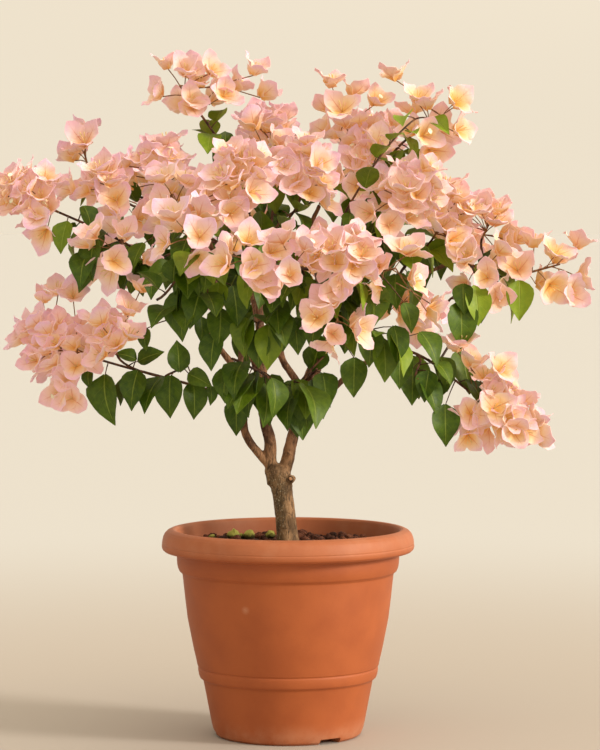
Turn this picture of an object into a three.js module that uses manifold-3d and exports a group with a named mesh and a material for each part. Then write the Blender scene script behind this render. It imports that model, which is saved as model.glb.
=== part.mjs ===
// A bougainvillea grown as a small umbrella-shaped tree in a round plastic pot.
// Millimetres, +Z up. The origin is the centre of the pot's underside, and -Y is the tree's front.
//
// The pot is a hollow moulding with a rolled rim and two raised bands. Potting mix fills it to just
// below the rim, and the trunk stands in a plain hole in the mix. The wood forks into limbs. Each
// limb carries leafy shoots, and each shoot ends in heads of papery three-bract blooms. A shoot with
// its leaves is one grown piece, and so is a head with its stalks and bracts.
import * as THREE from "three";
import { mergeVertices } from "three/addons/utils/BufferGeometryUtils.js";
import Module from "manifold-3d";

const wasm = await Module();
wasm.setup();
const { Manifold, Mesh: SolidMesh } = wasm;

const gap = 0.3; // clearance that touching pieces keep
const clearance = 0.35; // least distance that a blade keeps from what it doesn't grow from
const tries = 30; // how often a blade is bent before it is left out
const bend = { shift: 0.6, spin: 0.37, heading: 0.12, droop: 0.09, shrink: 0.012 }; // more at each try
const goldenAngle = 2.39996;
const thirdTurn = (2 * Math.PI) / 3;
const up = new THREE.Vector3(0, 0, 1);

// ---------------------------------------------------------------- driving dimensions

const pot = {
  height: 246,
  rimRadius: 150,
  baseRadius: 83.5,
  floor: 10,
  segments: 24,
  notches: 3,
  notchWidth: 29,
  notchHeight: 6.5,
  notchDepth: 20,
  firstNotchAngle: -55, // degrees round from +X, so that one notch shows at the front right
  drainRadius: 5,
};

const soil = {
  level: 227,
  hollowRadius: 15.5, // the hole that the trunk stands in
  hollowDepth: 40,
  clods: 8,
  segments: 16,
  sideGap: 2.2, // keeps the mix's flat sides inside the pot's
};

const bract = {
  length: 32,
  halfWidth: 15.5,
  widestAt: 0.5,
  fold: 2.8,
  hubRadius: 2.8,
  roundShare: 0.94, // of its third of the round, so that it stays clear of the next bract
};

// A head's blooms lean from its foot to its top, in radians from the way that it faces. Each opening
// is the angle between a bract and its bloom's axis, and rises say how far an axis tips up and forward.
const bloom = {
  leans: [1.75, 0.25],
  leanPower: 0.85,
  leanSway: 0.15,
  turnSway: 0.25,
  roots: [0.12, 0.96], // the stretch of the stalk that carries them
  reaches: [17, 27],
  sizes: [0.85, 1.08],
  openings: [0.72, 0.95],
  rises: [0.2, 0.15],
  extraSize: 0.95,
  extraOpening: 0.75,
  spacing: 33,
  spreadRounds: 24,
  spreadShare: 0.3,
};

// A leaf's outline is widest at its shoulder, and droops are radians below the level.
const leaf = {
  length: 52,
  halfWidth: 18.5,
  shoulderAt: 0.26,
  waistAt: 0.62,
  waistWidth: 0.72,
  petiole: 12,
  petioleHalfWidth: 1.2,
  stalkSwing: 0.35, // least cosine between the stalk and the blade
  thickness: 1.8,
  fold: 4.5,
  tipCurl: 6,
  stretch: [0.16, 0.94], // of its twig
  turnSway: 0.4,
  droops: [0.5, 1.4],
  bentDroops: [0.1, 1.6], // how far a leaf may bend to stand clear
  sizes: [0.76, 1.14],
  offEnds: 0.1, // least share of a twig's step between its end and a hung leaf's stalk
  lightDepth: 40, // leaves in front of this face forward, and those behind it face back
};
const twig = { rootRadius: 2.1, endRadius: 1.5, sides: 3, mainSteps: 4, sideSteps: 3, forks: [0.35, 0.65] };
const stalk = { rootRadius: 1.5, endRadius: 1.0, sides: 3, beforeMiddle: 0.75 };

// Wood. Each limb is the rings of one tapering tube, as [x, y, z, radius], and starts inside its parent.
const limbs = {
  trunk: {
    sides: 8,
    rings: [
      [0, 0, 187.3, 8], [0, 0, 204, 13.5], [0, 0, 227, 14], [-1, 0, 238, 12.9], [-3, 0, 260, 12.3],
      [-6, 0, 284, 12.2], [-9, 0, 303, 13.8], [-13, 0, 316, 15.5], [-12, 0, 323, 9],
    ],
  },
  cutStub: { sides: 6, rings: [[-4, -2, 299, 6], [3.6, -7, 305, 5], [5.6, -9.5, 307.6, 4.2]] },
  centre: {
    sides: 6,
    rings: [
      [-14, 0, 300, 8], [-21, -1, 326, 7.9], [-21, -2, 349, 7.3], [-27, 0, 372, 6.7], [-29, 4, 396, 6.3],
      [-31, 8, 440, 5.8], [-34, 12, 500, 5.1], [-40, 12, 560, 4.3], [-46, 8, 618, 3],
    ],
  },
  left: {
    sides: 6,
    rings: [
      [-18, -1, 316, 5.6], [-33, -3, 334, 5.4], [-46, -5, 350, 5.1], [-52, -6, 366, 4.9], [-53, -7, 386, 4.7],
      [-59, -9, 410, 4.5], [-62, -11, 435, 4.3], [-78, -13, 457, 3.8], [-102, -16, 492, 3.3],
      [-126, -20, 528, 2.7],
    ],
  },
  leftInner: {
    sides: 5,
    rings: [
      [-61, -10, 428, 3.6], [-55, -6, 462, 3.7], [-68, 6, 510, 3.4], [-84, 22, 560, 2.9],
      [-100, 30, 602, 2.5],
    ],
  },
  leftFront: {
    sides: 5,
    rings: [
      [-27, 0, 374, 4.4], [-32, -34, 420, 4.3], [-50, -68, 476, 3.8], [-70, -94, 516, 3.2],
      [-86, -112, 546, 2.6],
    ],
  },
  right: {
    sides: 6,
    rings: [
      [-9, 0, 300, 8.5], [-1, 0, 326, 8.1], [4, 1, 349, 7.3], [10, 2, 372, 6.9], [18, 2, 402, 6.2],
      [28, 3, 425, 5.7], [42, 4, 454, 5.1], [47, 2, 480, 4.6], [60, 0, 522, 4], [76, -5, 570, 3.4],
      [88, -8, 612, 2.7],
    ],
  },
  rightInner: {
    sides: 5,
    rings: [
      [18, 2, 398, 4.6], [12, 5, 418, 4.6], [-8, 12, 450, 4.4], [-10, 30, 492, 4], [0, 46, 540, 3.5],
      [18, 55, 588, 3], [38, 55, 630, 2.5],
    ],
  },
  front: {
    sides: 5,
    rings: [
      [25, 2, 418, 4.4], [30, -36, 454, 4.1], [38, -74, 492, 3.6], [44, -104, 520, 3.1],
      [46, -126, 540, 2.6],
    ],
  },
  lowRight: {
    sides: 5,
    rings: [
      [11, 1, 376, 4.4], [30, -6, 391, 4.3], [46, -9, 405, 4.1], [67, -11, 425, 3.8], [91, -13, 443, 3.3],
      [114, -15, 455, 2.6],
    ],
  },
  farRight: {
    sides: 5,
    rings: [
      [45, 3, 472, 4], [80, 12, 500, 3.7], [120, 16, 526, 3.2], [158, 15, 546, 2.7], [190, 10, 560, 2.4],
    ],
  },
  backLeft: {
    sides: 5,
    rings: [[-30, 6, 420, 4.4], [-33, 46, 464, 4.2], [-42, 88, 512, 3.5], [-58, 124, 556, 2.7]],
  },
  backRight: {
    sides: 5,
    rings: [
      [7, 1, 362, 4.6], [18, 42, 412, 4.5], [44, 86, 466, 3.9], [76, 118, 518, 3.2],
      [100, 136, 560, 2.6],
    ],
  },
};

// Leafy shoots. limb and at say where each one grows: at 1 is the limb's end, and less than 1 is on
// its side. Each head has its middle, the way that it faces, its count of blooms and the length of
// its stalk; extra blooms stand apart on long stalks of their own. Spurs are the ends of side twigs
// that carry only leaves. Lift is how far a shoot on a limb's side turns up as it leaves. Hung leaves
// are placed one by one: where the blade starts, its heading, its droop, its size and its roll.
const shoots = [
  { name: "crown_left", limb: "centre", at: 1, leaves: 7, heads: [
    { name: "crown_left", middle: [-122, 12, 762], facing: [-0.55, -0.3, 0.75], blooms: 7, stalk: 44,
      extra: [[-66, 18, 764], [-44, 4, 780], [-36, 26, 758]] }] },
  { name: "upper_left", limb: "leftInner", at: 1, leaves: 8, heads: [
    { name: "left_top", middle: [-150, 14, 668], facing: [-0.15, -0.3, 0.95], blooms: 6, stalk: 34 },
    { name: "left_upper", middle: [-206, -8, 648], facing: [-0.6, -0.5, 0.6], blooms: 5, stalk: 30 },
    { name: "left_small", middle: [-243, 46, 690], facing: [-0.2, -0.1, 0.97], blooms: 3, stalk: 18 }] },
  { name: "far_left", limb: "left", at: 1, leaves: 9, spurs: [[-246, -50, 566]], heads: [
    { name: "far_left", middle: [-300, -10, 634], facing: [-0.9, -0.2, 0.4], blooms: 7, stalk: 44 },
    { name: "left_middle", middle: [-200, -70, 578], facing: [-0.55, -0.75, 0.1], blooms: 7, stalk: 38 }] },
  { name: "low_left", limb: "left", at: 0.52, lift: 0.6, leaves: 2,
    hung: [[-215, -30, 430, -75, 1.3, 1.12, 48], [-176, -34, 435, -115, 1.15, 0.88, -30],
      [-138, -30, 429, -88, 1.35, 0.92, 0], [-111, -26, 421, -80, 1.3, 0.82, 0],
      [-61, -24, 400, -95, 1.3, 0.78, 0], [-128, -22, 433, 90, -1.35, 0.74, 0],
      [-117, -26, 431, -20, 0.35, 0.62, 62], [-176, -30, 446, -10, -0.4, 0.62, 62]],
    heads: [
    { name: "low_left", middle: [-268, -24, 462], facing: [-0.93, -0.2, 0.3], blooms: 10, stalk: 64 },
    { name: "low_left_inner", middle: [-202, -56, 466], facing: [-0.1, -0.75, 0.6], blooms: 4, stalk: 24 }] },
  { name: "front_left", limb: "leftFront", at: 1, leaves: 13, spurs: [[-134, -100, 498], [-76, -112, 470]],
    heads: [
    { name: "front_left", middle: [-110, -168, 592], facing: [-0.25, -0.9, 0.3], blooms: 6, stalk: 34 },
    { name: "front_left_upper", middle: [-130, -92, 634], facing: [-0.4, -0.5, 0.75], blooms: 7,
      stalk: 36 }] },
  { name: "top_front", limb: "centre", at: 0.8, leaves: 9, heads: [
    { name: "top_front", middle: [-58, -96, 652], facing: [-0.1, -0.65, 0.75], blooms: 8, stalk: 38 },
    { name: "top_middle", middle: [18, -54, 664], facing: [0.1, -0.5, 0.85], blooms: 7, stalk: 36 }] },
  { name: "front_centre", limb: "front", at: 1, leaves: 12, spurs: [[-34, -136, 494]], heads: [
    { name: "front_centre_left", middle: [-44, -196, 566], facing: [-0.35, -0.9, 0.15], blooms: 5,
      stalk: 28 },
    { name: "front_centre", middle: [8, -208, 560], facing: [0, -0.95, 0.25], blooms: 6, stalk: 30 }] },
  { name: "front_right", limb: "front", at: 0.62, leaves: 12, spurs: [[118, -96, 470]], heads: [
    { name: "front_right", middle: [62, -196, 568], facing: [0.25, -0.9, 0.3], blooms: 5, stalk: 28 },
    { name: "front_low", middle: [56, -178, 500], facing: [0.1, -0.8, -0.5], blooms: 5, stalk: 28 },
    { name: "front_far_right", middle: [118, -164, 556], facing: [0.5, -0.8, 0.1], blooms: 5, stalk: 30,
      extra: [[158, -134, 508]] }] },
  { name: "crown_middle", limb: "rightInner", at: 1, leaves: 7, heads: [
    { name: "crown_middle", middle: [64, 40, 736], facing: [0, -0.3, 0.95], blooms: 6, stalk: 34 },
    { name: "crown_middle_left", middle: [-28, 22, 694], facing: [-0.25, -0.25, 0.93], blooms: 6,
      stalk: 32 }] },
  { name: "crown_right", limb: "right", at: 1, leaves: 9, heads: [
    { name: "crown_right", middle: [174, -4, 728], facing: [0.75, -0.3, 0.45], blooms: 7, stalk: 42,
      extra: [[128, 0, 776]] },
    { name: "right_front", middle: [138, -44, 640], facing: [0.35, -0.65, 0.65], blooms: 8, stalk: 38 }] },
  { name: "far_right", limb: "farRight", at: 1, leaves: 9, spurs: [[186, -40, 512]], heads: [
    { name: "far_right", middle: [308, -4, 556], facing: [0.9, -0.2, 0.25], blooms: 8, stalk: 56 },
    { name: "right_middle", middle: [230, -24, 552], facing: [0.35, -0.75, -0.1], blooms: 6, stalk: 34 },
    { name: "right_small", middle: [236, 12, 602], facing: [0.4, -0.2, 0.85], blooms: 3, stalk: 18 }] },
  { name: "upper_right", limb: "farRight", at: 0.6, leaves: 8, heads: [
    { name: "right_upper", middle: [182, -14, 610], facing: [0.4, -0.5, 0.75], blooms: 7, stalk: 34 },
    { name: "top_right", middle: [92, 26, 680], facing: [0.15, -0.3, 0.93], blooms: 7, stalk: 34 }] },
  { name: "low_right", limb: "lowRight", at: 1, leaves: 8, spurs: [[152, -56, 426], [204, 8, 474]],
    hung: [[184, -50, 396, -90, 1.35, 0.9, 0], [165, -50, 436, -110, 1.15, 0.72, 0],
      [131, -50, 459, -95, 1.3, 0.85, 0], [174, -44, 445, -45, 0.8, 0.6, 20]],
    heads: [
    { name: "low_right", middle: [250, -36, 386], facing: [0.75, -0.3, -0.5], blooms: 8, stalk: 54,
      extra: [[199, -34, 457]] }] },
  { name: "back_left", limb: "backLeft", at: 1, leaves: 7, heads: [
    { name: "back_left", middle: [-148, 150, 640], facing: [-0.5, 0.5, 0.7], blooms: 6, stalk: 36 },
    { name: "back_far_left", middle: [-212, 104, 566], facing: [-0.8, 0.45, 0.2], blooms: 5, stalk: 36 }] },
  { name: "back_middle", limb: "backLeft", at: 0.62, leaves: 7, spurs: [[-64, 116, 460]], heads: [
    { name: "back_middle", middle: [-58, 196, 620], facing: [-0.1, 0.7, 0.65], blooms: 7, stalk: 38 },
    { name: "back_low_left", middle: [-96, 214, 534], facing: [-0.35, 0.85, -0.05], blooms: 6, stalk: 38 }] },
  { name: "back_right", limb: "backRight", at: 1, leaves: 7, heads: [
    { name: "back_right", middle: [116, 186, 634], facing: [0.35, 0.6, 0.7], blooms: 6, stalk: 36 },
    { name: "back_far_right", middle: [200, 126, 580], facing: [0.8, 0.45, 0.25], blooms: 5, stalk: 36 }] },
  { name: "back_low", limb: "backRight", at: 0.68, leaves: 6, spurs: [[92, 146, 470]], heads: [
    { name: "back_low", middle: [34, 226, 566], facing: [0.05, 0.95, 0.2], blooms: 7, stalk: 38 },
    { name: "back_low_right", middle: [146, 208, 506], facing: [0.5, 0.8, -0.2], blooms: 5, stalk: 36 }] },
  { name: "crown_back", limb: "rightInner", at: 0.7, leaves: 6, heads: [
    { name: "crown_back", middle: [-22, 112, 712], facing: [-0.2, 0.35, 0.9], blooms: 6, stalk: 36 },
    { name: "crown_back_right", middle: [94, 118, 700], facing: [0.35, 0.35, 0.85], blooms: 6, stalk: 36 }] },
  { name: "inner_right", limb: "right", at: 0.45, leaves: 9, spurs: [[8, -64, 424], [34, -50, 438]],
    heads: [] },
  { name: "inner_left", limb: "leftFront", at: 0.35, leaves: 8, spurs: [[-22, -100, 430], [-64, -96, 452]],
    heads: [] },
];

// ---------------------------------------------------------------- small tools

const vec = (p) => new THREE.Vector3(p[0], p[1], p[2]);
const at = (origin, ...terms) => terms.reduce((sum, term) => sum.addScaledVector(...term), origin.clone());
const mix = (a, b, t) => a + (b - a) * t;

// Seeded draws: a function that gives the next number between low and high.
function draws(seed) {
  let state = (seed * 7919 + 104729) % 4294967296;
  const next = () => {
    state = (state * 1664525 + 1013904223) % 4294967296;
    return state / 4294967296;
  };
  next();
  next();
  return (low, high) => low + (high - low) * next();
}

// Two unit vectors across a direction.
function across(direction) {
  const side = Math.abs(direction.z) > 0.9 ? new THREE.Vector3(1, 0, 0) : up;
  const u = new THREE.Vector3().crossVectors(side, direction).normalize();
  return [u, new THREE.Vector3().crossVectors(direction, u)];
}

function solidFrom(geometry) {
  const bare = new THREE.BufferGeometry().setAttribute("position", geometry.getAttribute("position"));
  bare.setIndex(geometry.index);
  const merged = mergeVertices(bare, 1e-4);
  return new Manifold(new SolidMesh({
    numProp: 3,
    vertProperties: merged.attributes.position.array,
    triVerts: new Uint32Array(merged.index.array),
  }));
}

function geometryFrom(solid) {
  const mesh = solid.getMesh();
  return new THREE.BufferGeometry()
    .setAttribute("position", new THREE.BufferAttribute(new Float32Array(mesh.vertProperties), 3))
    .setIndex(new THREE.BufferAttribute(new Uint32Array(mesh.triVerts), 1));
}

function solidOfPoints(points, faces) {
  const geometry = new THREE.BufferGeometry()
    .setAttribute("position", new THREE.Float32BufferAttribute(points.flatMap((p) => p.toArray()), 3));
  geometry.setIndex(faces.flat());
  const volume = faces.reduce((sum, [a, b, c]) => sum + points[a].dot(points[b].clone().cross(points[c])), 0);
  if (volume < 0) geometry.setIndex(faces.flatMap(([a, b, c]) => [a, c, b]));
  return solidFrom(geometry);
}

// A tube through rings of points, each with its radius, closed at both ends. Its end rings stand
// square to the ways that it leaves and arrives, where they are given.
function tube(centres, radii, sides, { leaving, arriving } = {}) {
  const last = centres.length - 1;
  const points = [];
  const faces = [];
  let u = null;
  centres.forEach((centre, i) => {
    const chord = centres[Math.min(i + 1, last)].clone().sub(centres[Math.max(i - 1, 0)]);
    const tangent = ({ 0: leaving, [last]: arriving }[i] || chord).clone().normalize();
    u = u ? u.addScaledVector(tangent, -u.dot(tangent)).normalize() : across(tangent)[0];
    const v = new THREE.Vector3().crossVectors(tangent, u);
    for (let k = 0; k < sides; k++) {
      const angle = (2 * Math.PI * k) / sides;
      points.push(at(centre, [u, radii[i] * Math.cos(angle)], [v, radii[i] * Math.sin(angle)]));
    }
  });
  for (let i = 0; i < last; i++) {
    for (let k = 0; k < sides; k++) {
      const a = i * sides + k;
      const b = i * sides + ((k + 1) % sides);
      faces.push([a, b, b + sides], [a, b + sides, a + sides]);
    }
  }
  const end = last * sides;
  for (let k = 1; k + 1 < sides; k++) faces.push([0, k + 1, k], [end, end + k, end + k + 1]);
  return solidOfPoints(points, faces);
}

// What is left of fused solids once sealed hollows are filled and loose scraps are dropped.
function fused(solids) {
  const bodies = Manifold.union(solids).decompose();
  return bodies.reduce((largest, body) => (body.volume() > largest.volume() ? body : largest));
}

// ---------------------------------------------------------------- pot and potting mix

// The pot's outer line from the floor up to the rim's top, and its inner one down again, as
// [radius, height].
const potOutside = [
  [pot.baseRadius, 0], [87.3, 3], [89.6, 9], [100.6, 64.5], [105, 69.6], [107, 77.5], [106.6, 82],
  [107.8, 83.6], [119.5, 140], [125.2, 190], [129.2, 196.4], [131.8, 205], [132.8, 218], [143, 219],
  [pot.rimRadius, 225], [149.6, 231.5], [147, 240.5], [141, 244.5], [136, pot.height],
];
const potInside = [[132, 243], [130.5, 232], [120.8, 188], [103.5, 84], [86, 13], [83, pot.floor]];

function turned(profile, segments) {
  const points = [[0, profile[0][1]], ...profile, [0, profile[profile.length - 1][1]]];
  const geometry = new THREE.LatheGeometry(points.map(([r, z]) => new THREE.Vector2(r, z)), segments);
  geometry.deleteAttribute("normal");
  geometry.deleteAttribute("uv");
  return geometry.rotateX(Math.PI / 2);
}

function potSolid() {
  let made = solidFrom(turned([...potOutside, ...potInside], pot.segments));
  for (let i = 0; i < pot.notches; i++) {
    const angle = THREE.MathUtils.degToRad(pot.firstNotchAngle + (360 / pot.notches) * i);
    const notch = new THREE.BoxGeometry(2 * pot.notchDepth, pot.notchWidth, 2 * pot.notchHeight)
      .translate(pot.baseRadius, 0, 0).rotateZ(angle);
    const drain = new THREE.CylinderGeometry(pot.drainRadius, pot.drainRadius, 3 * pot.floor, 8)
      .rotateX(Math.PI / 2).translate(pot.baseRadius - pot.notchDepth + 8, 0, pot.floor).rotateZ(angle);
    made = made.subtract(solidFrom(notch)).subtract(solidFrom(drain));
  }
  return made;
}

function soilSolid() {
  const draw = draws(11);
  const edge = soil.level - 3;
  const [[mouthRadius, mouthHeight], [highRadius, highHeight]] = potInside.slice(1, 3);
  const edgeRadius = mix(highRadius, mouthRadius, (edge - highHeight) / (mouthHeight - highHeight));
  const [heel, foot] = potInside.slice(-2);
  const profile = [
    [foot[0] - soil.sideGap, foot[1] + gap], [heel[0] - soil.sideGap, heel[1] + gap],
    [edgeRadius - soil.sideGap, edge], [102, soil.level + 1], [60, soil.level - 2], [24, soil.level + 2],
  ];
  const pieces = [solidFrom(turned(profile, soil.segments))];
  for (let i = 0; i < soil.clods; i++) {
    const angle = i * goldenAngle;
    const reach = mix(30, 112, Math.sqrt((i + 0.5) / soil.clods));
    const clod = new THREE.IcosahedronGeometry(draw(6, 9.5), 0).rotateX(draw(0, 3)).rotateY(draw(0, 3))
      .translate(reach * Math.cos(angle), reach * Math.sin(angle), soil.level + draw(-2, 1));
    pieces.push(solidFrom(clod));
  }
  const hollow = new THREE.CylinderGeometry(soil.hollowRadius, soil.hollowRadius, soil.hollowDepth + 40, 12)
    .rotateX(Math.PI / 2).translate(0, 0, soil.level + 20 - soil.hollowDepth / 2);
  return fused(pieces).subtract(solidFrom(hollow));
}

// ---------------------------------------------------------------- wood

// The point, tangent and radius of a limb at a share of its length in rings.
function alongLimb(name, share) {
  const { rings } = limbs[name];
  const place = share * (rings.length - 1);
  const i = Math.min(Math.floor(place), rings.length - 2);
  const [from, to] = [rings[i], rings[i + 1]];
  return {
    point: vec(from).lerp(vec(to), place - i),
    tangent: vec(to).sub(vec(from)).normalize(),
    radius: mix(from[3], to[3], place - i),
  };
}

const woodPieces = Object.values(limbs)
  .map(({ rings, sides }) => tube(rings.map(vec), rings.map((ring) => ring[3]), sides));

// ---------------------------------------------------------------- blooms and leaves

const tetrahedron = [[0, 1, 2], [0, 2, 3], [0, 3, 1], [1, 3, 2]];

// A bloom: three keeled pointed bracts round a hub, on a stalk that narrows to a point at its root.
// Its blade is a plainer solid that leaves the stalk out.
function bloomSolid({ root, hub, axis, spin, size, opening }) {
  const [u, v] = across(axis);
  const round = (angle) => at(new THREE.Vector3(), [u, Math.cos(angle)], [v, Math.sin(angle)]);
  const length = bract.length * size;
  const fold = bract.fold * size;
  const outAtWidest = bract.widestAt * length * Math.sin(opening) - fold * Math.cos(opening);
  const halfWidth = Math.min(bract.halfWidth * size,
    bract.roundShare * Math.tan(thirdTurn / 2) * outAtWidest);
  const points = [root, at(hub, [axis, bract.hubRadius])];
  for (let k = 0; k < 3; k++) {
    const turn = spin + thirdTurn * k;
    const out = round(turn);
    const side = new THREE.Vector3().crossVectors(axis, out);
    const along = at(new THREE.Vector3(), [axis, Math.cos(opening)], [out, Math.sin(opening)]);
    const inward = at(new THREE.Vector3(), [axis, Math.sin(opening)], [out, -Math.cos(opening)]);
    const shoulder = (hand) => at(hub, [along, bract.widestAt * length],
      [side, hand * halfWidth], [inward, fold]);
    const tip = at(hub, [along, length], [inward, -fold]);
    points.push(shoulder(-1), tip, shoulder(1), at(hub, [round(turn + thirdTurn / 2), bract.hubRadius]));
  }
  const faces = [];
  for (let k = 0; k < 3; k++) {
    const [left, tip, right, valley] = [2, 3, 4, 5].map((n) => n + 4 * k);
    const before = 5 + 4 * ((k + 2) % 3);
    faces.push([1, before, left], [1, left, tip], [1, tip, right], [1, right, valley]);
    faces.push([before, tip, left], [before, valley, tip], [valley, right, tip], [before, 0, valley]);
  }
  const throat = at(hub, [axis, 2 * bract.hubRadius]);
  const blade = solidOfPoints([throat, points[3], points[7], points[11]], tetrahedron);
  return { solid: solidOfPoints(points, faces), blade };
}

// A leaf: an oval blade with a drawn-out tip, folded along its midrib, on a stalk that narrows to its
// root. The stalk swings round far enough to meet the blade from behind.
function leafSolid({ root, stalkWay, start, heading, droop, size, roll = 0 }) {
  const outward = new THREE.Vector3(Math.cos(heading), Math.sin(heading), 0);
  const along = at(new THREE.Vector3(), [outward, Math.cos(droop)], [up, -Math.sin(droop)]);
  const face = at(new THREE.Vector3(), [outward, Math.sin(droop)], [up, Math.cos(droop)])
    .applyAxisAngle(along, roll);
  const way = at(stalkWay, [along, Math.max(0, leaf.stalkSwing - stalkWay.dot(along))]).normalize();
  const base = start || at(root, [way, leaf.petiole * size]);
  const side = new THREE.Vector3().crossVectors(along, face);
  const length = leaf.length * size;
  const edge = (share, width, lift) => at(base, [along, share * length],
    [side, width * leaf.halfWidth * size], [face, lift * leaf.fold * size]);
  const shoulder = (hand) => edge(leaf.shoulderAt, hand, 1);
  const waist = (hand) => edge(leaf.waistAt, hand * leaf.waistWidth, leaf.waistWidth);
  const under = (hand) => at(base, [side, hand * leaf.petioleHalfWidth], [face, -leaf.thickness / 2]);
  const points = [
    root,
    at(base, [face, leaf.thickness / 2]),
    under(-1), shoulder(-1), waist(-1),
    at(base, [along, length], [face, -leaf.tipCurl * size]),
    waist(1), shoulder(1), under(1),
  ];
  const faces = [
    [1, 2, 3], [1, 3, 4], [1, 4, 5], [1, 5, 6], [1, 6, 7], [1, 7, 8],
    [2, 4, 3], [2, 5, 4], [2, 8, 5], [8, 6, 5], [8, 7, 6],
    [0, 2, 1], [0, 1, 8], [0, 8, 2],
  ];
  const inner = edge(leaf.shoulderAt / 2, 0, 0);
  const blade = solidOfPoints([inner, points[3], points[5], points[7]], tetrahedron);
  return { solid: solidOfPoints(points, faces), blade };
}

// ---------------------------------------------------------------- where everything grows

// The point and tangent at a share of a line of points.
function onLine(points, share) {
  const place = share * (points.length - 1);
  const i = Math.min(Math.floor(place), points.length - 2);
  const tangent = points[i + 1].clone().sub(points[i]).normalize();
  return { point: points[i].clone().lerp(points[i + 1], place - i), tangent };
}

// A shoot's main line runs from its limb to its first goal, and side twigs run from it to the others:
// the feet of its heads, and the ends of its spurs.
function shootLines({ limb, at: share, lift = 0, heads, spurs = [] }) {
  const { point, tangent, radius } = alongLimb(limb, share);
  const goals = [
    ...heads.map((head) => {
      const facing = vec(head.facing).normalize();
      return { point: at(vec(head.middle), [facing, -stalk.beforeMiddle * head.stalk]), facing };
    }),
    ...spurs.map((spur) => ({ point: vec(spur), facing: vec(spur).sub(point).normalize() })),
  ];
  const lines = [];
  goals.forEach((goal, i) => {
    let leaving = tangent.clone();
    let root = at(point, [leaving, gap]);
    if (i > 0) {
      const fork = onLine(lines[0].points, mix(...twig.forks, (i - 1) / 2));
      root = fork.point;
      leaving = fork.tangent;
    } else if (share < 1) {
      const toward = goal.point.clone().sub(point);
      const outward = toward.addScaledVector(tangent, -toward.dot(tangent)).normalize();
      leaving = at(outward, [up, lift]).normalize();
      root = at(point, [outward, radius + 2 * gap + lift * twig.rootRadius]);
    }
    const third = root.distanceTo(goal.point) / 3;
    const handles = [at(root, [leaving, third]), at(goal.point, [goal.facing, -third])];
    const curve = new THREE.CubicBezierCurve3(root, ...handles, goal.point);
    lines.push({
      points: curve.getPoints(i ? twig.sideSteps : twig.mainSteps),
      ways: { leaving, arriving: goal.facing },
      rootRadius: i ? twig.endRadius : twig.rootRadius,
    });
  });
  return lines;
}

// A head's stalk carries on from its twig, a gap further, with its blooms in a spiral round it.
function headBlooms(head, seed) {
  const facing = vec(head.facing).normalize();
  const [u, v] = across(facing);
  const foot = at(vec(head.middle), [facing, gap - stalk.beforeMiddle * head.stalk]);
  const onStalk = (share) => at(foot, [facing, head.stalk * share]);
  const blooms = [];
  for (let i = 0; i < head.blooms; i++) {
    const draw = draws(seed * 40 + i);
    const share = (i + 0.5) / head.blooms;
    const lean = mix(...bloom.leans, Math.pow(share, bloom.leanPower))
      + draw(-bloom.leanSway, bloom.leanSway);
    const round = i * goldenAngle + seed + draw(-bloom.turnSway, bloom.turnSway);
    const way = at(new THREE.Vector3(), [facing, Math.cos(lean)],
      [u, Math.sin(lean) * Math.cos(round)], [v, Math.sin(lean) * Math.sin(round)]);
    const root = onStalk(mix(...bloom.roots, share));
    const hub = at(root, [way, draw(...bloom.reaches)]);
    const spin = draw(0, thirdTurn);
    blooms.push({ root, hub, facing, spin, size: draw(...bloom.sizes), opening: draw(...bloom.openings) });
  }
  (head.extra || []).forEach((place, i) => {
    const root = onStalk(bloom.roots[0] * (i + 1));
    const spin = draws(seed * 40 + 30 + i)(0, thirdTurn);
    blooms.push({ root, hub: vec(place), facing, spin, size: bloom.extraSize, opening: bloom.extraOpening });
  });
  return { ends: [onStalk(0), onStalk(1)], blooms };
}

// Blooms that stand too close push each other apart, as crowded ones do while they open.
function spreadOut(blooms) {
  for (let round = 0; round < bloom.spreadRounds; round++) {
    blooms.forEach((one, i) => blooms.slice(i + 1).forEach((other) => {
      const away = other.hub.clone().sub(one.hub);
      const short = bloom.spacing - away.length();
      if (short <= 0) return;
      away.setLength(short * bloom.spreadShare);
      one.hub.sub(away);
      other.hub.add(away);
    }));
  }
}

// Leaves stand in a spiral along a shoot's lines. They hang outwards, and turn to the nearer side of
// the crown.
function shootLeaves(shoot, lines, seed) {
  const lengths = lines.map(({ points }) => points[0].distanceTo(points[points.length - 1]));
  const total = lengths.reduce((a, b) => a + b);
  const leaves = [];
  for (let i = 0; i < shoot.leaves; i++) {
    const draw = draws(seed * 60 + i + 5000);
    let run = (total * (i + 0.6)) / shoot.leaves;
    let n = 0;
    while (n + 1 < lines.length && run > lengths[n]) run -= lengths[n++];
    const share = mix(...leaf.stretch, Math.min(run / lengths[n], 1));
    const { point: root, tangent } = onLine(lines[n].points, share);
    const [u, v] = across(tangent);
    const round = i * goldenAngle + draw(-leaf.turnSway, leaf.turnSway);
    const side = at(new THREE.Vector3(), [u, Math.cos(round)], [v, Math.sin(round)]);
    const depth = (root.y - leaf.lightDepth) / 60;
    const light = new THREE.Vector3(root.x / 500, THREE.MathUtils.clamp(depth, -1, 1), 0);
    const flat = at(light, [side, 0.5], [tangent, 0.2]).setZ(0);
    leaves.push({
      root,
      stalkWay: at(side, [tangent, 0.35], [up, -0.1]).normalize(),
      heading: Math.atan2(flat.y, flat.x),
      droop: draw(...leaf.droops),
      size: draw(...leaf.sizes),
    });
  }
  return leaves;
}

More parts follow.
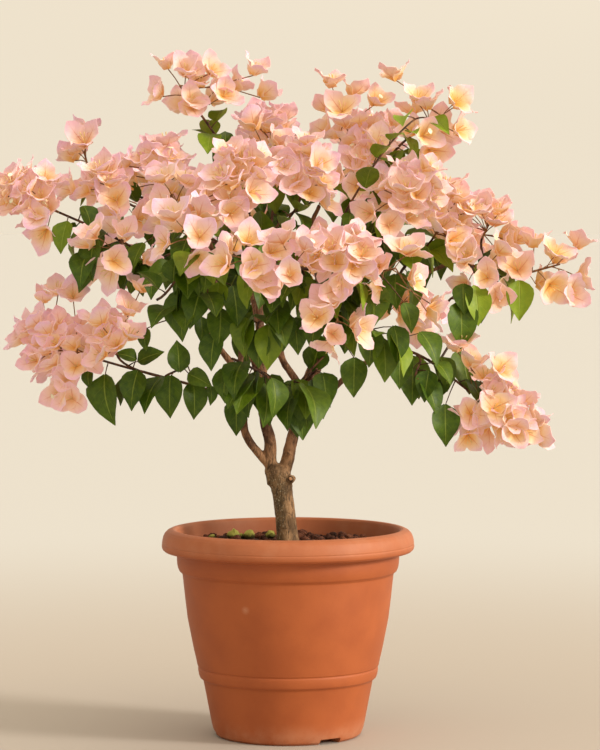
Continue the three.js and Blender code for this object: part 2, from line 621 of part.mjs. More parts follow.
// A hung leaf's stalk comes from the place on the shoot's lines that is nearest behind its blade.
function hungLeaves(shoot, lines) {
  return (shoot.hung || []).map(([x, y, z, degrees, droop, size, roll]) => {
    const start = vec([x, y, z]);
    const heading = THREE.MathUtils.degToRad(degrees);
    const flat = new THREE.Vector3(Math.cos(heading), Math.sin(heading), 0);
    const reach = leaf.petiole * size;
    const behind = at(start, [flat, -reach * Math.cos(droop)], [up, reach * Math.sin(droop)]);
    const spots = lines.flatMap(({ points }) => points.slice(1).map((end, i) => {
      const stretch = new THREE.Line3(points[i], end);
      const share = stretch.closestPointToPointParameter(behind, true);
      return stretch.at(THREE.MathUtils.clamp(share, leaf.offEnds, 1 - leaf.offEnds), new THREE.Vector3());
    }));
    const root = spots.reduce((a, b) => (a.distanceTo(behind) <= b.distanceTo(behind) ? a : b));
    const stalkWay = start.clone().sub(root).normalize();
    return { root, stalkWay, start, heading, droop, size, roll: THREE.MathUtils.degToRad(roll) };
  });
}

// ---------------------------------------------------------------- standing clear

const placed = []; // every solid made so far, with the piece that it belongs to

const boxOf = (solid) => new THREE.Box3(vec(solid.boundingBox().min), vec(solid.boundingBox().max));

function keep(piece, solid, isBlade = false) {
  placed.push({ piece, solid, isBlade, box: boxOf(solid) });
  return solid;
}

// How a grown thing stands: crossed with another piece, clear of those, or alone, which is clear of
// its own piece's twigs and blades too.
function standing(piece, { solid, blade }) {
  const reach = boxOf(solid).expandByScalar(clearance);
  const near = placed.filter((other) => other.box.intersectsBox(reach));
  const meets = (one, other) => one.minGap(other.solid, clearance) < clearance;
  if (near.some((other) => other.piece !== piece && meets(solid, other))) return "crossed";
  const own = near.filter((other) => other.piece === piece);
  return own.some((other) => meets(other.isBlade ? solid : blade, other)) ? "clear" : "alone";
}

// Tries turn and shrink a blade until it stands alone, or failing that clear of the other pieces.
function bentClear(piece, make) {
  let clear = null;
  for (let attempt = 0; attempt < tries; attempt++) {
    const made = make(attempt);
    const state = standing(piece, made);
    if (state === "alone") return keep(piece, made.solid, true);
    if (state === "clear" && !clear) clear = made.solid;
  }
  return clear && keep(piece, clear, true);
}

function headSolids({ piece, ends, blooms, seed }) {
  const solids = [keep(piece, tube(ends, [stalk.rootRadius, stalk.endRadius], stalk.sides))];
  blooms.forEach((one, i) => {
    const draw = draws(seed * 40 + i + 9000);
    solids.push(bentClear(piece, (attempt) => {
      const sway = new THREE.Vector3(draw(-1, 1), draw(-1, 1), draw(-1, 1));
      const hub = at(one.hub, [sway, bend.shift * attempt]);
      const way = hub.clone().sub(one.root).normalize();
      const axis = at(way, [up, bloom.rises[0]], [one.facing, bloom.rises[1]]).normalize();
      const size = one.size * (1 - bend.shrink * attempt);
      return bloomSolid({ ...one, hub, axis, spin: one.spin + bend.spin * attempt, size });
    }));
  });
  return solids.filter(Boolean);
}

function leafSolids({ piece, shoot, lines, seed }) {
  return [...shootLeaves(shoot, lines, seed), ...hungLeaves(shoot, lines)].map((one, i) => {
    const draw = draws(seed * 60 + i + 7000);
    return bentClear(piece, (attempt) => leafSolid({
      ...one,
      heading: one.heading + draw(-bend.heading, bend.heading) * attempt,
      droop: THREE.MathUtils.clamp(one.droop + draw(-bend.droop, bend.droop) * attempt,
        Math.min(one.droop, leaf.bentDroops[0]), leaf.bentDroops[1]),
      size: one.size * (1 - bend.shrink * attempt),
    }));
  }).filter(Boolean);
}

// ---------------------------------------------------------------- the assembled tree

const finishes = {
  pot: { color: 0xc0643a, roughness: 0.62 },
  soil: { color: 0x4a2c20, roughness: 0.98 },
  bark: { color: 0x7a5c44, roughness: 0.9 },
  leaf: { color: 0x3f6a22, roughness: 0.5 },
  bloom: { color: 0xf0a58c, roughness: 0.65 },
};
const materials = Object.fromEntries(Object.entries(finishes).map(([name, finish]) =>
  [name, new THREE.MeshStandardMaterial({ ...finish, metalness: 0, flatShading: true })]));

const tree = new THREE.Group();
function add(name, solid, finish) {
  const mesh = new THREE.Mesh(geometryFrom(solid), materials[finish]);
  mesh.name = name;
  tree.add(mesh);
}

add("pot", potSolid(), "pot");
add("soil", soilSolid(), "soil");
woodPieces.forEach((solid) => keep("trunk_and_limbs", solid));
add("trunk_and_limbs", fused(woodPieces), "bark");

const grownShoots = shoots.map((shoot, seed) => {
  const piece = "shoot_" + shoot.name;
  const lines = shootLines(shoot);
  const twigs = lines.map(({ points, ways, rootRadius }) => {
    const radii = points.map((_, i) => mix(rootRadius, twig.endRadius, i / (points.length - 1)));
    return keep(piece, tube(points, radii, twig.sides, ways));
  });
  return { piece, shoot, lines, twigs, seed };
});
const grownHeads = shoots.flatMap((shoot) => shoot.heads)
  .map((head, i) => ({ piece: "blooms_" + head.name, seed: i + 1, ...headBlooms(head, i + 1) }));
spreadOut(grownHeads.flatMap((head) => head.blooms));
grownHeads.forEach((head) => add(head.piece, fused(headSolids(head)), "bloom"));
grownShoots.forEach((grown) => add(grown.piece, fused([...grown.twigs, ...leafSolids(grown)]), "leaf"));

export default tree;
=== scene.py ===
import math

import bmesh
import bpy
from mathutils import Matrix, Vector


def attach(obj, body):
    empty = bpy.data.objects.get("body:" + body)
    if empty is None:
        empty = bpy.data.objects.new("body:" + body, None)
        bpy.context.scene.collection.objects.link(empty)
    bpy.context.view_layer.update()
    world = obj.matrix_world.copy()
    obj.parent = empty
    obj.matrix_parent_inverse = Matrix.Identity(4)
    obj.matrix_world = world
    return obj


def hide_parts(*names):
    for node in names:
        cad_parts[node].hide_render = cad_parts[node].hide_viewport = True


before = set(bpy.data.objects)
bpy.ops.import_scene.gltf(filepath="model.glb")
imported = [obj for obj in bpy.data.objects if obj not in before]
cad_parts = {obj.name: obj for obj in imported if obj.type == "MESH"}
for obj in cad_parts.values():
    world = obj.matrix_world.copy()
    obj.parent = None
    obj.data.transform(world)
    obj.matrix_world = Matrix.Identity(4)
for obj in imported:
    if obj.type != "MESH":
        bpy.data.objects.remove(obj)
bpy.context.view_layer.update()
stage = bpy.context.scene
up = Vector((0, 0, 1))
mm = 0.001
print("frame loaded,", len(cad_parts), "nodes")


# small tools for the bench

def clearAll():
    if bpy.context.object and bpy.context.object.mode != "OBJECT":
        bpy.ops.object.mode_set(mode="OBJECT")
    bpy.ops.object.select_all(action="DESELECT")


def hold(*pieces):  # these and nothing else are selected, and the first is active
    clearAll()
    for piece in pieces:
        piece.select_set(True)
    bpy.context.view_layer.objects.active = pieces[0]


def openMesh(piece, action="DESELECT"):
    hold(piece)
    bpy.ops.object.mode_set(mode="EDIT")
    bpy.ops.mesh.select_all(action=action)


def closeMesh(faceOut=False):  # if wanted, every face is turned to look outward first
    if faceOut:
        bpy.ops.mesh.select_all(action="SELECT")
        bpy.ops.mesh.normals_make_consistent(inside=False)
    bpy.ops.object.mode_set(mode="OBJECT")


def drawUp(height):  # what is selected is drawn out along z
    bpy.ops.mesh.extrude_region_move(TRANSFORM_OT_translate={"value": (0, 0, height * mm)})


def widen(share, height=0):
    bpy.ops.transform.resize(value=(share, share, 1), center_override=(0, 0, height * mm))


def pick(piece, wanted, parts="verts"):  # selects points, edges or faces that pass a test
    bpy.ops.mesh.select_mode(type={"verts": "VERT", "edges": "EDGE", "faces": "FACE"}[parts])
    bpy.ops.mesh.select_all(action="DESELECT")
    mesh = bmesh.from_edit_mesh(piece.data)
    for part in getattr(mesh, parts):
        if wanted(part):
            part.select_set(True)
    bmesh.update_edit_mesh(piece.data)


def press(piece, kind, **settings):  # a modifier, applied at once
    hold(piece)
    modifier = piece.modifiers.new(kind.title(), kind)
    for key, value in settings.items():
        setattr(modifier, key, value)
    bpy.ops.object.modifier_apply(modifier=modifier.name)


def joined(name, pieces):  # one piece at the origin, from several
    hold(*pieces)
    bpy.ops.object.join()
    piece = bpy.context.object
    bpy.ops.object.transform_apply(location=True, rotation=True, scale=True)
    piece.name = piece.data.name = name
    return piece


def stand(name, data):  # a new thing on the stage
    piece = bpy.data.objects.new(name, data)
    stage.collection.objects.link(piece)
    return piece


def twin(piece, place):  # a copy with a mesh of its own
    copy = stand(piece.name, piece.data.copy())
    copy.matrix_world = place
    return copy


def putAway(*pieces):  # patterns that have been copied, and cutters
    for piece in pieces:
        bpy.data.objects.remove(piece, do_unlink=True)


def mix(a, b, share):
    return a + (b - a) * share


def within(value, low=0, high=1):
    return max(low, min(high, value))


dice = {"spread": 7919, "start": 104729, "factor": 1664525, "step": 1013904223, "span": 4294967296}


def draws(seed):  # seeded numbers, the same in every run
    state = (seed * dice["spread"] + dice["start"]) % dice["span"]

    def step():
        nonlocal state
        state = (state * dice["factor"] + dice["step"]) % dice["span"]
        return state / dice["span"]

    step()
    step()
    return lambda low, high: low + (high - low) * step()


def oneOf(pieces, draw):
    return pieces[int(draw(0, len(pieces) - 0.001))]


def across(direction):  # two unit vectors square to a direction
    side = Vector((1, 0, 0)) if abs(direction.z) > 0.9 else up
    u = side.cross(direction).normalized()
    return u, direction.cross(u)


def turnedFrom(u, v, turn):  # u, turned towards v
    return u * math.cos(turn) + v * math.sin(turn)


# shader tools

class Wire:  # a shader value that works in an expression
    def __init__(self, finish, socket):
        self.finish = finish
        self.socket = socket

    def sum(self, operation, first, second=0.0, clamp=False):
        settings = {"operation": operation, "use_clamp": clamp}
        return self.finish.node("ShaderNodeMath", settings, {0: first, 1: second})

    def __add__(self, other):
        return self.sum("ADD", self, other)

    def __radd__(self, other):
        return self.sum("ADD", other, self)

    def __sub__(self, other):
        return self.sum("SUBTRACT", self, other)

    def __rsub__(self, other):
        return self.sum("SUBTRACT", other, self)

    def __mul__(self, other):
        return self.sum("MULTIPLY", self, other)

    def __rmul__(self, other):
        return self.sum("MULTIPLY", other, self)

    def __truediv__(self, other):
        return self.sum("DIVIDE", self, other)

    def __rtruediv__(self, other):
        return self.sum("DIVIDE", other, self)

    def __pow__(self, other):
        return self.sum("POWER", self, other)

    def __rpow__(self, other):
        return self.sum("POWER", other, self)

    def __abs__(self):
        return self.sum("ABSOLUTE", self)

    def wave(self):
        return self.sum("SINE", self)

    def clamped(self):
        return self.sum("ADD", self, 0.0, clamp=True)

    def between(self, low, high):  # a soft step from 0 at low to 1 at high
        settings = {"interpolation_type": "SMOOTHSTEP"}
        return self.finish.node("ShaderNodeMapRange", settings, {0: self, 1: low, 2: high})


class Finish:  # one material, or the room, and the nodes that make it
    def __init__(self, name, library=bpy.data.materials, shader="Principled BSDF", **constants):
        self.material = library.new(name)
        self.material.use_nodes = True
        self.nodes = self.material.node_tree.nodes
        self.links = self.material.node_tree.links
        self.shader = self.nodes[shader]
        for key, value in constants.items():
            self.shader.inputs[key.replace("_", " ")].default_value = value

    def put(self, socket, value):  # a link, a colour or a number
        if isinstance(value, Wire):
            self.links.new(value.socket, socket)
        elif isinstance(value, tuple) and len(value) == 3 and len(socket.default_value) == 4:
            socket.default_value = (*value, 1)
        else:
            socket.default_value = value

    def node(self, kind, settings=None, values=None, output=0):
        made = self.nodes.new(kind)
        for key, value in (settings or {}).items():
            if key == "stops":
                for spot, *colour in value[2:]:
                    made.color_ramp.elements.new(spot)
                for element, (spot, *colour) in zip(made.color_ramp.elements, value):
                    element.position = spot
                    element.color = (*rgb(*colour), 1)
            else:
                setattr(made, key, value)
        for key, value in (values or {}).items():
            self.put(made.inputs[key], value)
        return Wire(self, made.outputs[output])

    def blend(self, first, second, share):  # from one colour to another; a colour is a paint chip or a wire
        first, second = (one if isinstance(one, Wire) else rgb(*one) for one in (first, second))
        settings = {"data_type": "RGBA", "clamp_factor": True}
        return self.node("ShaderNodeMix", settings, {0: share, 6: first, 7: second}, 2)

    def ramp(self, share, stops):
        return self.node("ShaderNodeValToRGB", {"stops": stops}, {0: share})

    def place(self):
        return self.node("ShaderNodeTexCoord", output="Object")

    def scaled(self, spot, scale):
        return self.node("ShaderNodeVectorMath", {"operation": "MULTIPLY"}, {0: spot, 1: scale})

    def noise(self, spot, scale, detail=3.0, roughness=0.55):
        values = {"Vector": spot, "Scale": scale, "Detail": detail, "Roughness": roughness}
        return self.node("ShaderNodeTexNoise", {}, values)

    def far(self, spot, centre):  # how far off a point lies
        settings, values = {"operation": "DISTANCE"}, {0: spot, 1: tuple(c * mm for c in centre)}
        return self.node("ShaderNodeVectorMath", settings, values, "Value")

    def own(self, name):  # a value that each point of the piece carries
        return self.node("ShaderNodeAttribute", {"attribute_name": name}, output="Fac")

    def axes(self, vector):
        parts = self.node("ShaderNodeSeparateXYZ", {}, {0: vector}).socket.node
        return [Wire(self, parts.outputs[n]) for n in range(3)]

    def shade(self, colour=None, roughness=None, height=None, depth=0.001, strength=1.0):
        if colour is not None:
            self.put(self.shader.inputs["Base Color"], colour)
        if roughness is not None:
            self.put(self.shader.inputs["Roughness"], roughness)
        if height is not None:
            bump = {"Height": height, "Distance": depth, "Strength": strength}
            self.put(self.shader.inputs["Normal"], self.node("ShaderNodeBump", {}, bump))
        return self.material


def rgb(red, green, blue):  # a colour as a paint chip gives it, 0 to 255
    def light(value):
        value /= 255
        return value / 12.92 if value <= 0.04045 else ((value + 0.055) / 1.055) ** 2.4
    return light(red), light(green), light(blue)


# the lines along which the plant grows: rings of x, y, z and radius in millimetres

limbs = {
    "trunk": [
        (0, 0, 187.3, 8), (0, 0, 204, 13.5), (0, 0, 227, 14), (-1, 0, 238, 12.9), (-3, 0, 260, 12.3),
        (-6, 0, 284, 12.2), (-9, 0, 303, 13.8), (-13, 0, 316, 15.5), (-12, 0, 323, 9),
    ],
    "cutStub": [
        (-4, -2, 299, 6), (3.6, -7, 305, 5), (5.6, -9.5, 307.6, 4.2),
    ],
    "centre": [
        (-14, 0, 300, 8), (-21, -1, 326, 7.9), (-21, -2, 349, 7.3), (-27, 0, 372, 6.7), (-29, 4, 396, 6.3),
        (-31, 8, 440, 5.8), (-34, 12, 500, 5.1), (-40, 12, 560, 4.3), (-46, 8, 618, 3),
    ],
    "left": [
        (-18, -1, 316, 5.6), (-33, -3, 334, 5.4), (-46, -5, 350, 5.1), (-52, -6, 366, 4.9),
        (-53, -7, 386, 4.7), (-59, -9, 410, 4.5), (-62, -11, 435, 4.3), (-78, -13, 457, 3.8),
        (-102, -16, 492, 3.3), (-126, -20, 528, 2.7),
    ],
    "leftInner": [
        (-61, -10, 428, 3.6), (-55, -6, 462, 3.7), (-68, 6, 510, 3.4), (-84, 22, 560, 2.9),
        (-100, 30, 602, 2.5),
    ],
    "leftFront": [
        (-27, 0, 374, 4.4), (-32, -34, 420, 4.3), (-50, -68, 476, 3.8), (-70, -94, 516, 3.2),
        (-86, -112, 546, 2.6),
    ],
    "right": [
        (-9, 0, 300, 8.5), (-1, 0, 326, 8.1), (4, 1, 349, 7.3), (10, 2, 372, 6.9), (18, 2, 402, 6.2),
        (28, 3, 425, 5.7), (42, 4, 454, 5.1), (47, 2, 480, 4.6), (60, 0, 522, 4), (76, -5, 570, 3.4),
        (88, -8, 612, 2.7),
    ],
    "rightInner": [
        (18, 2, 398, 4.6), (12, 5, 418, 4.6), (-8, 12, 450, 4.4), (-10, 30, 492, 4), (0, 46, 540, 3.5),
        (18, 55, 588, 3), (38, 55, 630, 2.5),
    ],
    "front": [
        (25, 2, 418, 4.4), (30, -36, 454, 4.1), (38, -74, 492, 3.6), (44, -104, 520, 3.1),
        (46, -126, 540, 2.6),
    ],
    "lowRight": [
        (11, 1, 376, 4.4), (30, -6, 391, 4.3), (46, -9, 405, 4.1), (67, -11, 425, 3.8),
        (91, -13, 443, 3.3), (114, -15, 455, 2.6),
    ],
    "farRight": [
        (45, 3, 472, 4), (80, 12, 500, 3.7), (120, 16, 526, 3.2), (158, 15, 546, 2.7), (190, 10, 560, 2.4),
    ],
    "backLeft": [
        (-30, 6, 420, 4.4), (-33, 46, 464, 4.2), (-42, 88, 512, 3.5), (-58, 124, 556, 2.7),
    ],
    "backRight": [
        (7, 1, 362, 4.6), (18, 42, 412, 4.5), (44, 86, 466, 3.9), (76, 118, 518, 3.2),
        (100, 136, 560, 2.6),
    ],
}

# a head of blooms: its middle, the way it faces, how many blooms, its stalk's length; then single blooms
# on long stalks (extra) or close by (more), and whether smaller ones fill its gaps
def headOf(name, middle, facing, blooms, stalk, **own):
    return {"name": name, "middle": middle, "facing": facing, "blooms": blooms, "stalk": stalk, **own}


# a shoot: its limb, how far along that it starts, its leaves and heads; then twigs with leaves alone
# (spurs, sprigs, runner), leaves that stand loose and leaves hung one by one
def shootOf(name, limb, at, leaves, heads, **own):
    return {"name": name, "limb": limb, "at": at, "leaves": leaves, "heads": heads, **own}


shoots = [
    shootOf("crown_left", "centre", 1, 7, [
        headOf("crown_left", (-122, 12, 762), (-0.55, -0.3, 0.75), 7, 44,
            extra=[(-66, 18, 764), (-44, 4, 780), (-36, 26, 758)], more=[(-87, 12, 764), (-112, 0, 742),
            (-76, 0, 756), (-92, -4, 784), (-104, 2, 768), (-118, 8, 782)], fill=False),
    ]),
    shootOf("upper_left", "leftInner", 1, 8, [
        headOf("left_top", (-150, 14, 668), (-0.15, -0.3, 0.95), 6, 34),
        headOf("left_upper", (-206, -8, 648), (-0.6, -0.5, 0.6), 5, 30,
            more=[(-176, -40, 612), (-160, -44, 622)]),
        headOf("left_small", (-243, 46, 690), (-0.2, -0.1, 0.97), 3, 18),
    ]),
    shootOf("far_left", "left", 1, 9, [
        headOf("far_left", (-300, -10, 634), (-0.9, -0.2, 0.4), 7, 44, more=[(-286, -10, 656)]),
        headOf("left_middle", (-200, -70, 578), (-0.55, -0.75, 0.1), 7, 38, fill=False),
    ], loose=4, spurs=[(-246, -50, 566)], hung=[(-258, -40, 610, -115, 1.15, 0.93, 0),
        (-225, -56, 590, -108, 1.2, 1.15, 20), (-238, -44, 628, -60, 1.0, 0.85, 0)]),
    shootOf("low_left", "left", 0.52, 2, [
        headOf("low_left", (-268, -24, 462), (-0.93, -0.2, 0.3), 10, 64, more=[(-270, -26, 524),
            (-252, -30, 519), (-288, -20, 514), (-260, -30, 424), (-236, -34, 446), (-266, -28, 410),
            (-253, -30, 402)]),
        headOf("low_left_inner", (-202, -56, 466), (-0.1, -0.75, 0.6), 4, 24,
            more=[(-187, -50, 500), (-173, -46, 528)]),
    ], lift=0.6, loose=0, onSprig=0, sprigs=[(-118, -22, 446)], hung=[(-215, -30, 430, -75, 1.3, 1.12, 48),
        (-176, -34, 435, -115, 1.15, 0.88, -30), (-138, -30, 429, -88, 1.35, 0.92, 0),
        (-111, -26, 421, -80, 1.3, 0.82, 0), (-61, -24, 400, -95, 1.3, 0.78, 0),
        (-128, -22, 433, 90, -1.35, 0.74, 0), (-117, -26, 431, -20, 0.35, 0.62, 62),
        (-176, -30, 446, -10, -0.4, 0.62, 62), (-178, -28, 448, 190, -0.35, 0.5, -62),
        (-234, -30, 436, -105, 1.3, 0.42, 0), (-92, -24, 417, -70, 1.2, 0.44, 0)]),
    shootOf("front_left", "leftFront", 1, 13, [
        headOf("front_left", (-110, -168, 592), (-0.25, -0.9, 0.3), 6, 34, fill=False),
        headOf("front_left_upper", (-130, -92, 634), (-0.4, -0.5, 0.75), 7, 36, fill=False),
    ], loose=5, spurs=[(-134, -100, 498), (-76, -112, 470)], sprigs=[(-150, -120, 520)],
        hung=[(-119, -110, 533, -100, 1.3, 1.25, 0), (-100, -90, 500, -75, 1.3, 0.62, 0),
        (-166, -92, 585, -140, 0.95, 0.85, 0), (-131, -95, 556, -160, 0.35, 0.9, -55),
        (-83, -130, 568, -130, 0.9, 0.9, 0), (-78, -125, 540, -100, 1.2, 0.85, 0),
        (-62, -125, 536, -70, 1.2, 1.0, 0), (-165, -60, 486, -110, 1.3, 0.52, 0)]),
    shootOf("top_front", "centre", 0.8, 9, [
        headOf("top_front", (-58, -96, 652), (-0.1, -0.65, 0.75), 8, 38,
            more=[(-85, -104, 609), (-66, -110, 618)]),
        headOf("top_middle", (18, -54, 664), (0.1, -0.5, 0.85), 7, 36, more=[(-4, -74, 672), (10, -76, 652)]),
    ]),
    shootOf("front_centre", "front", 1, 12, [
        headOf("front_centre_left", (-44, -196, 566), (-0.35, -0.9, 0.15), 5, 28,
            more=[(-36, -214, 560), (-20, -210, 574), (-28, -206, 540)], fill=False),
        headOf("front_centre", (8, -208, 560), (0, -0.95, 0.25), 6, 30, fill=False),
    ], spurs=[(-34, -136, 494)], hung=[(-46, -128, 500, -110, 1.2, 0.9, 0),
        (-22, -132, 492, -80, 1.3, 1.0, 0), (-8, -130, 506, -75, 1.25, 0.9, 0),
        (-34, -130, 486, -95, 1.35, 0.85, 0), (8, -125, 500, -70, 1.2, 0.85, 0)]),
    shootOf("front_right", "front", 0.62, 12, [
        headOf("front_right", (62, -196, 568), (0.25, -0.9, 0.3), 5, 28),
        headOf("front_low", (56, -178, 500), (0.1, -0.8, -0.5), 5, 28,
            more=[(34, -198, 502), (50, -196, 484)], fill=False),
        headOf("front_far_right", (118, -164, 556), (0.5, -0.8, 0.1), 5, 30, extra=[(158, -134, 508)],
            more=[(163, -120, 516)], fill=False),
    ], spurs=[(118, -96, 470)], hung=[(122, -110, 490, -65, 1.2, 0.85, 0),
        (134, -112, 517, -60, 1.15, 0.75, 0), (100, -120, 524, -85, 1.2, 0.6, 0),
        (154, -80, 482, -40, 0.9, 0.85, 25), (96, -104, 486, -95, 1.25, 0.85, 0),
        (110, -100, 474, -80, 1.3, 0.95, 0)]),
    shootOf("crown_middle", "rightInner", 1, 7, [
        headOf("crown_middle", (64, 40, 736), (0, -0.3, 0.95), 6, 34, more=[(102, 20, 748)], fill=False),
        headOf("crown_middle_left", (-28, 22, 694), (-0.25, -0.25, 0.93), 6, 32, fill=False),
    ]),
    shootOf("crown_right", "right", 1, 9, [
        headOf("crown_right", (174, -4, 728), (0.75, -0.3, 0.45), 7, 42, extra=[(128, 0, 776)],
            more=[(149, 0, 713), (166, 4, 695), (153, -8, 750)], fill=False),
        headOf("right_front", (138, -44, 640), (0.35, -0.65, 0.65), 8, 38,
            more=[(98, -56, 619), (117, -60, 605)]),
    ], runner=[(66, -16, 588), (64, -40, 612), (78, -54, 640), (98, -56, 672), (122, -48, 704),
        (144, -36, 726), (156, -14, 732), (168, 4, 732)]),
    shootOf("far_right", "farRight", 1, 9, [
        headOf("far_right", (308, -4, 556), (0.9, -0.2, 0.25), 8, 56, more=[(332, -6, 524)], fill=False),
        headOf("right_middle", (230, -24, 552), (0.35, -0.75, -0.1), 6, 34, more=[(246, -30, 524)],
            fill=False),
        headOf("right_small", (236, 12, 602), (0.4, -0.2, 0.85), 3, 18),
    ], loose=1, spurs=[(186, -40, 512)], hung=[(272, -30, 541, -85, 1.35, 1.0, 0),
        (219, -40, 535, -70, 1.25, 1.0, 0), (205, -44, 537, -95, 1.2, 0.75, 0)]),
    shootOf("upper_right", "farRight", 0.6, 8, [
        headOf("right_upper", (182, -14, 610), (0.4, -0.5, 0.75), 7, 34),
        headOf("top_right", (92, 26, 680), (0.15, -0.3, 0.93), 7, 34,
            more=[(62, 0, 661), (80, -6, 652), (104, 0, 659)]),
    ]),
    shootOf("low_right", "lowRight", 1, 8, [
        headOf("low_right", (250, -36, 386), (0.75, -0.3, -0.5), 8, 54, extra=[(199, -34, 457)],
            more=[(197, -40, 378), (211, -40, 361), (214, -46, 384), (245, -40, 434), (204, -40, 466)]),
    ], loose=0, spurs=[(152, -56, 426), (204, 8, 474)], hung=[(184, -50, 396, -90, 1.35, 0.9, 0),
        (165, -50, 436, -110, 1.15, 0.72, 0), (131, -50, 459, -95, 1.3, 0.85, 0),
        (174, -44, 445, -45, 0.8, 0.6, 20)]),
    shootOf("back_left", "backLeft", 1, 7, [
        headOf("back_left", (-148, 150, 640), (-0.5, 0.5, 0.7), 6, 36),
        headOf("back_far_left", (-212, 104, 566), (-0.8, 0.45, 0.2), 5, 36),
    ]),
    shootOf("back_middle", "backLeft", 0.62, 7, [
        headOf("back_middle", (-58, 196, 620), (-0.1, 0.7, 0.65), 7, 38),
        headOf("back_low_left", (-96, 214, 534), (-0.35, 0.85, -0.05), 6, 38),
    ], spurs=[(-64, 116, 460)]),
    shootOf("back_right", "backRight", 1, 7, [
        headOf("back_right", (116, 186, 634), (0.35, 0.6, 0.7), 6, 36),
        headOf("back_far_right", (200, 126, 580), (0.8, 0.45, 0.25), 5, 36),
    ]),
    shootOf("back_low", "backRight", 0.68, 6, [
        headOf("back_low", (34, 226, 566), (0.05, 0.95, 0.2), 7, 38),
        headOf("back_low_right", (146, 208, 506), (0.5, 0.8, -0.2), 5, 36),
    ], spurs=[(92, 146, 470)]),
    shootOf("crown_back", "rightInner", 0.7, 6, [
        headOf("crown_back", (-22, 112, 712), (-0.2, 0.35, 0.9), 6, 36),
        headOf("crown_back_right", (94, 118, 700), (0.35, 0.35, 0.85), 6, 36),
    ]),
    shootOf("inner_right", "right", 0.45, 9, [], loose=4, spurs=[(8, -64, 424), (34, -50, 438)],
        sprigs=[(60, -50, 474)], onSprig=1, hung=[(78, -50, 451, -85, 1.3, 0.87, 0)]),
    shootOf("inner_left", "leftFront", 0.35, 8, [], loose=0, spurs=[(-22, -100, 430), (-64, -96, 452)]),
]


# the planter and what it holds

pot = {
    "sides": 96, "sharpFrom": 18, "edge": 0.5, "round": 0.6, "smoothTo": 32,
    "outside": [
        (83.5, 0), (87.3, 3), (89.6, 9), (91.1, 15), (100.6, 64.5), (101.4, 66.4), (103, 68), (105, 69.6),
        (106.2, 73), (107, 77.5), (107.2, 80.5), (106.6, 81.4), (106.6, 82.6), (107.8, 83.6), (109.6, 92),
        (112.6, 105), (119.5, 140), (122.4, 164), (125.2, 190), (125.5, 192.6), (127, 194.6), (129.2, 196.4),
        (130.8, 200), (131.8, 205), (132.2, 211), (131.9, 216.4), (132.8, 218), (143, 219), (146.8, 220),
        (149.2, 222.2), (150, 225), (150, 227.4), (149.5, 228), (149.5, 228.8), (149.8, 229.4), (149.3, 233),
        (148.3, 237), (146.6, 240.6), (143.6, 243.6), (140, 245.3), (137, 246),
    ],
    "inside": [
        (134.4, 245.4), (132.7, 243.4), (132, 240.6), (131.2, 236), (130.5, 231), (120.8, 188), (103.5, 84),
        (86, 13), (83, 10),
    ],
    "notches": 3, "firstNotch": -55, "notchWidth": 29, "notchHeight": 6.5, "notchDepth": 20,
    "notchRound": 1.5, "drainRadius": 5, "drainSides": 32, "drainIn": 8, "drainLength": 60, "floor": 10,
}


def turned(name, rings, sides):  # a round wall drawn up ring by ring, closed at both ends
    radius, height = rings[0]
    clearAll()
    bpy.ops.mesh.primitive_circle_add(
        vertices=sides, radius=radius * mm, fill_type="NGON", location=(0, 0, height * mm))
    piece = bpy.context.object
    piece.name = name
    bpy.ops.object.transform_apply(location=True)
    openMesh(piece, "SELECT")
    for wide, high in rings[1:]:
        drawUp(high - height)
        widen(wide / radius, high)
        radius, height = wide, high
    closeMesh(faceOut=True)
    return piece


def cutAway(piece, cutter):
    press(piece, "BOOLEAN", operation="DIFFERENCE", solver="EXACT", object=cutter)
    putAway(cutter)


def makePot():
    piece = turned("planter", pot["outside"] + pot["inside"], pot["sides"])
    sharp = math.radians(pot["sharpFrom"])
    openMesh(piece)
    pick(piece, lambda edge: edge.calc_face_angle(0) > sharp, "edges")
    bpy.ops.mesh.bevel(offset=pot["edge"] * mm, segments=2, profile=pot["round"], clamp_overlap=True)
    closeMesh()
    for n in range(pot["notches"]):
        turn = math.radians(pot["firstNotch"] + n * 360 / pot["notches"])
        way = Vector((math.cos(turn), math.sin(turn), 0))
        base = pot["outside"][0][0]
        bpy.ops.mesh.primitive_cube_add(
            size=1, location=way * base * mm, rotation=(0, 0, turn),
            scale=Vector((2 * pot["notchDepth"], pot["notchWidth"], 2 * pot["notchHeight"])) * mm)
        notch = bpy.context.object
        bpy.ops.object.transform_apply(location=True, rotation=True, scale=True)
        press(notch, "BEVEL", width=pot["notchRound"] * mm, segments=3)
        cutAway(piece, notch)
        reach = base - pot["notchDepth"] + pot["drainIn"]
        bpy.ops.mesh.primitive_cylinder_add(
            vertices=pot["drainSides"], radius=pot["drainRadius"] * mm, depth=pot["drainLength"] * mm,
            location=(way * reach + up * pot["floor"]) * mm)
        cutAway(piece, bpy.context.object)
    hold(piece)
    bpy.ops.object.shade_smooth_by_angle(angle=math.radians(pot["smoothTo"]))
    return piece


pottingMix = {
    "level": 227, "gap": 0.6, "heights": (10.4, 84, 188), "rim": [(1.5, 3), (3.5, 0.8)], "top": 2,
    "hollow": 15.5, "depth": 40, "rings": [124, 114, 103, 91, 78, 65, 52, 40, 29, 21],
    "lump": 3.2, "lumpSize": 16, "seed": 77, "clods": 430, "clodShapes": 3, "clodSizes": (2, 6.6),
    "spread": 1.5, "clodLump": 1.1, "clodLumpSize": 0.9, "clodWidths": (0.7, 1), "clodHeights": (0.6, 0.95),
    "clodLift": 0.3, "fromHollow": 1, "fromWall": 3, "smoothTo": 50, "tone": 0.2, "mossyHeight": 0.9,
    "mossy": [(-66, 58, 232.5, 7.6), (-47, 62, 231.5, 6.8), (-21, 60, 232, 6.2), (-57, 64, 229.5, 4.6),
              (-92, 50, 229, 5), (66, 74, 228, 4)],
}


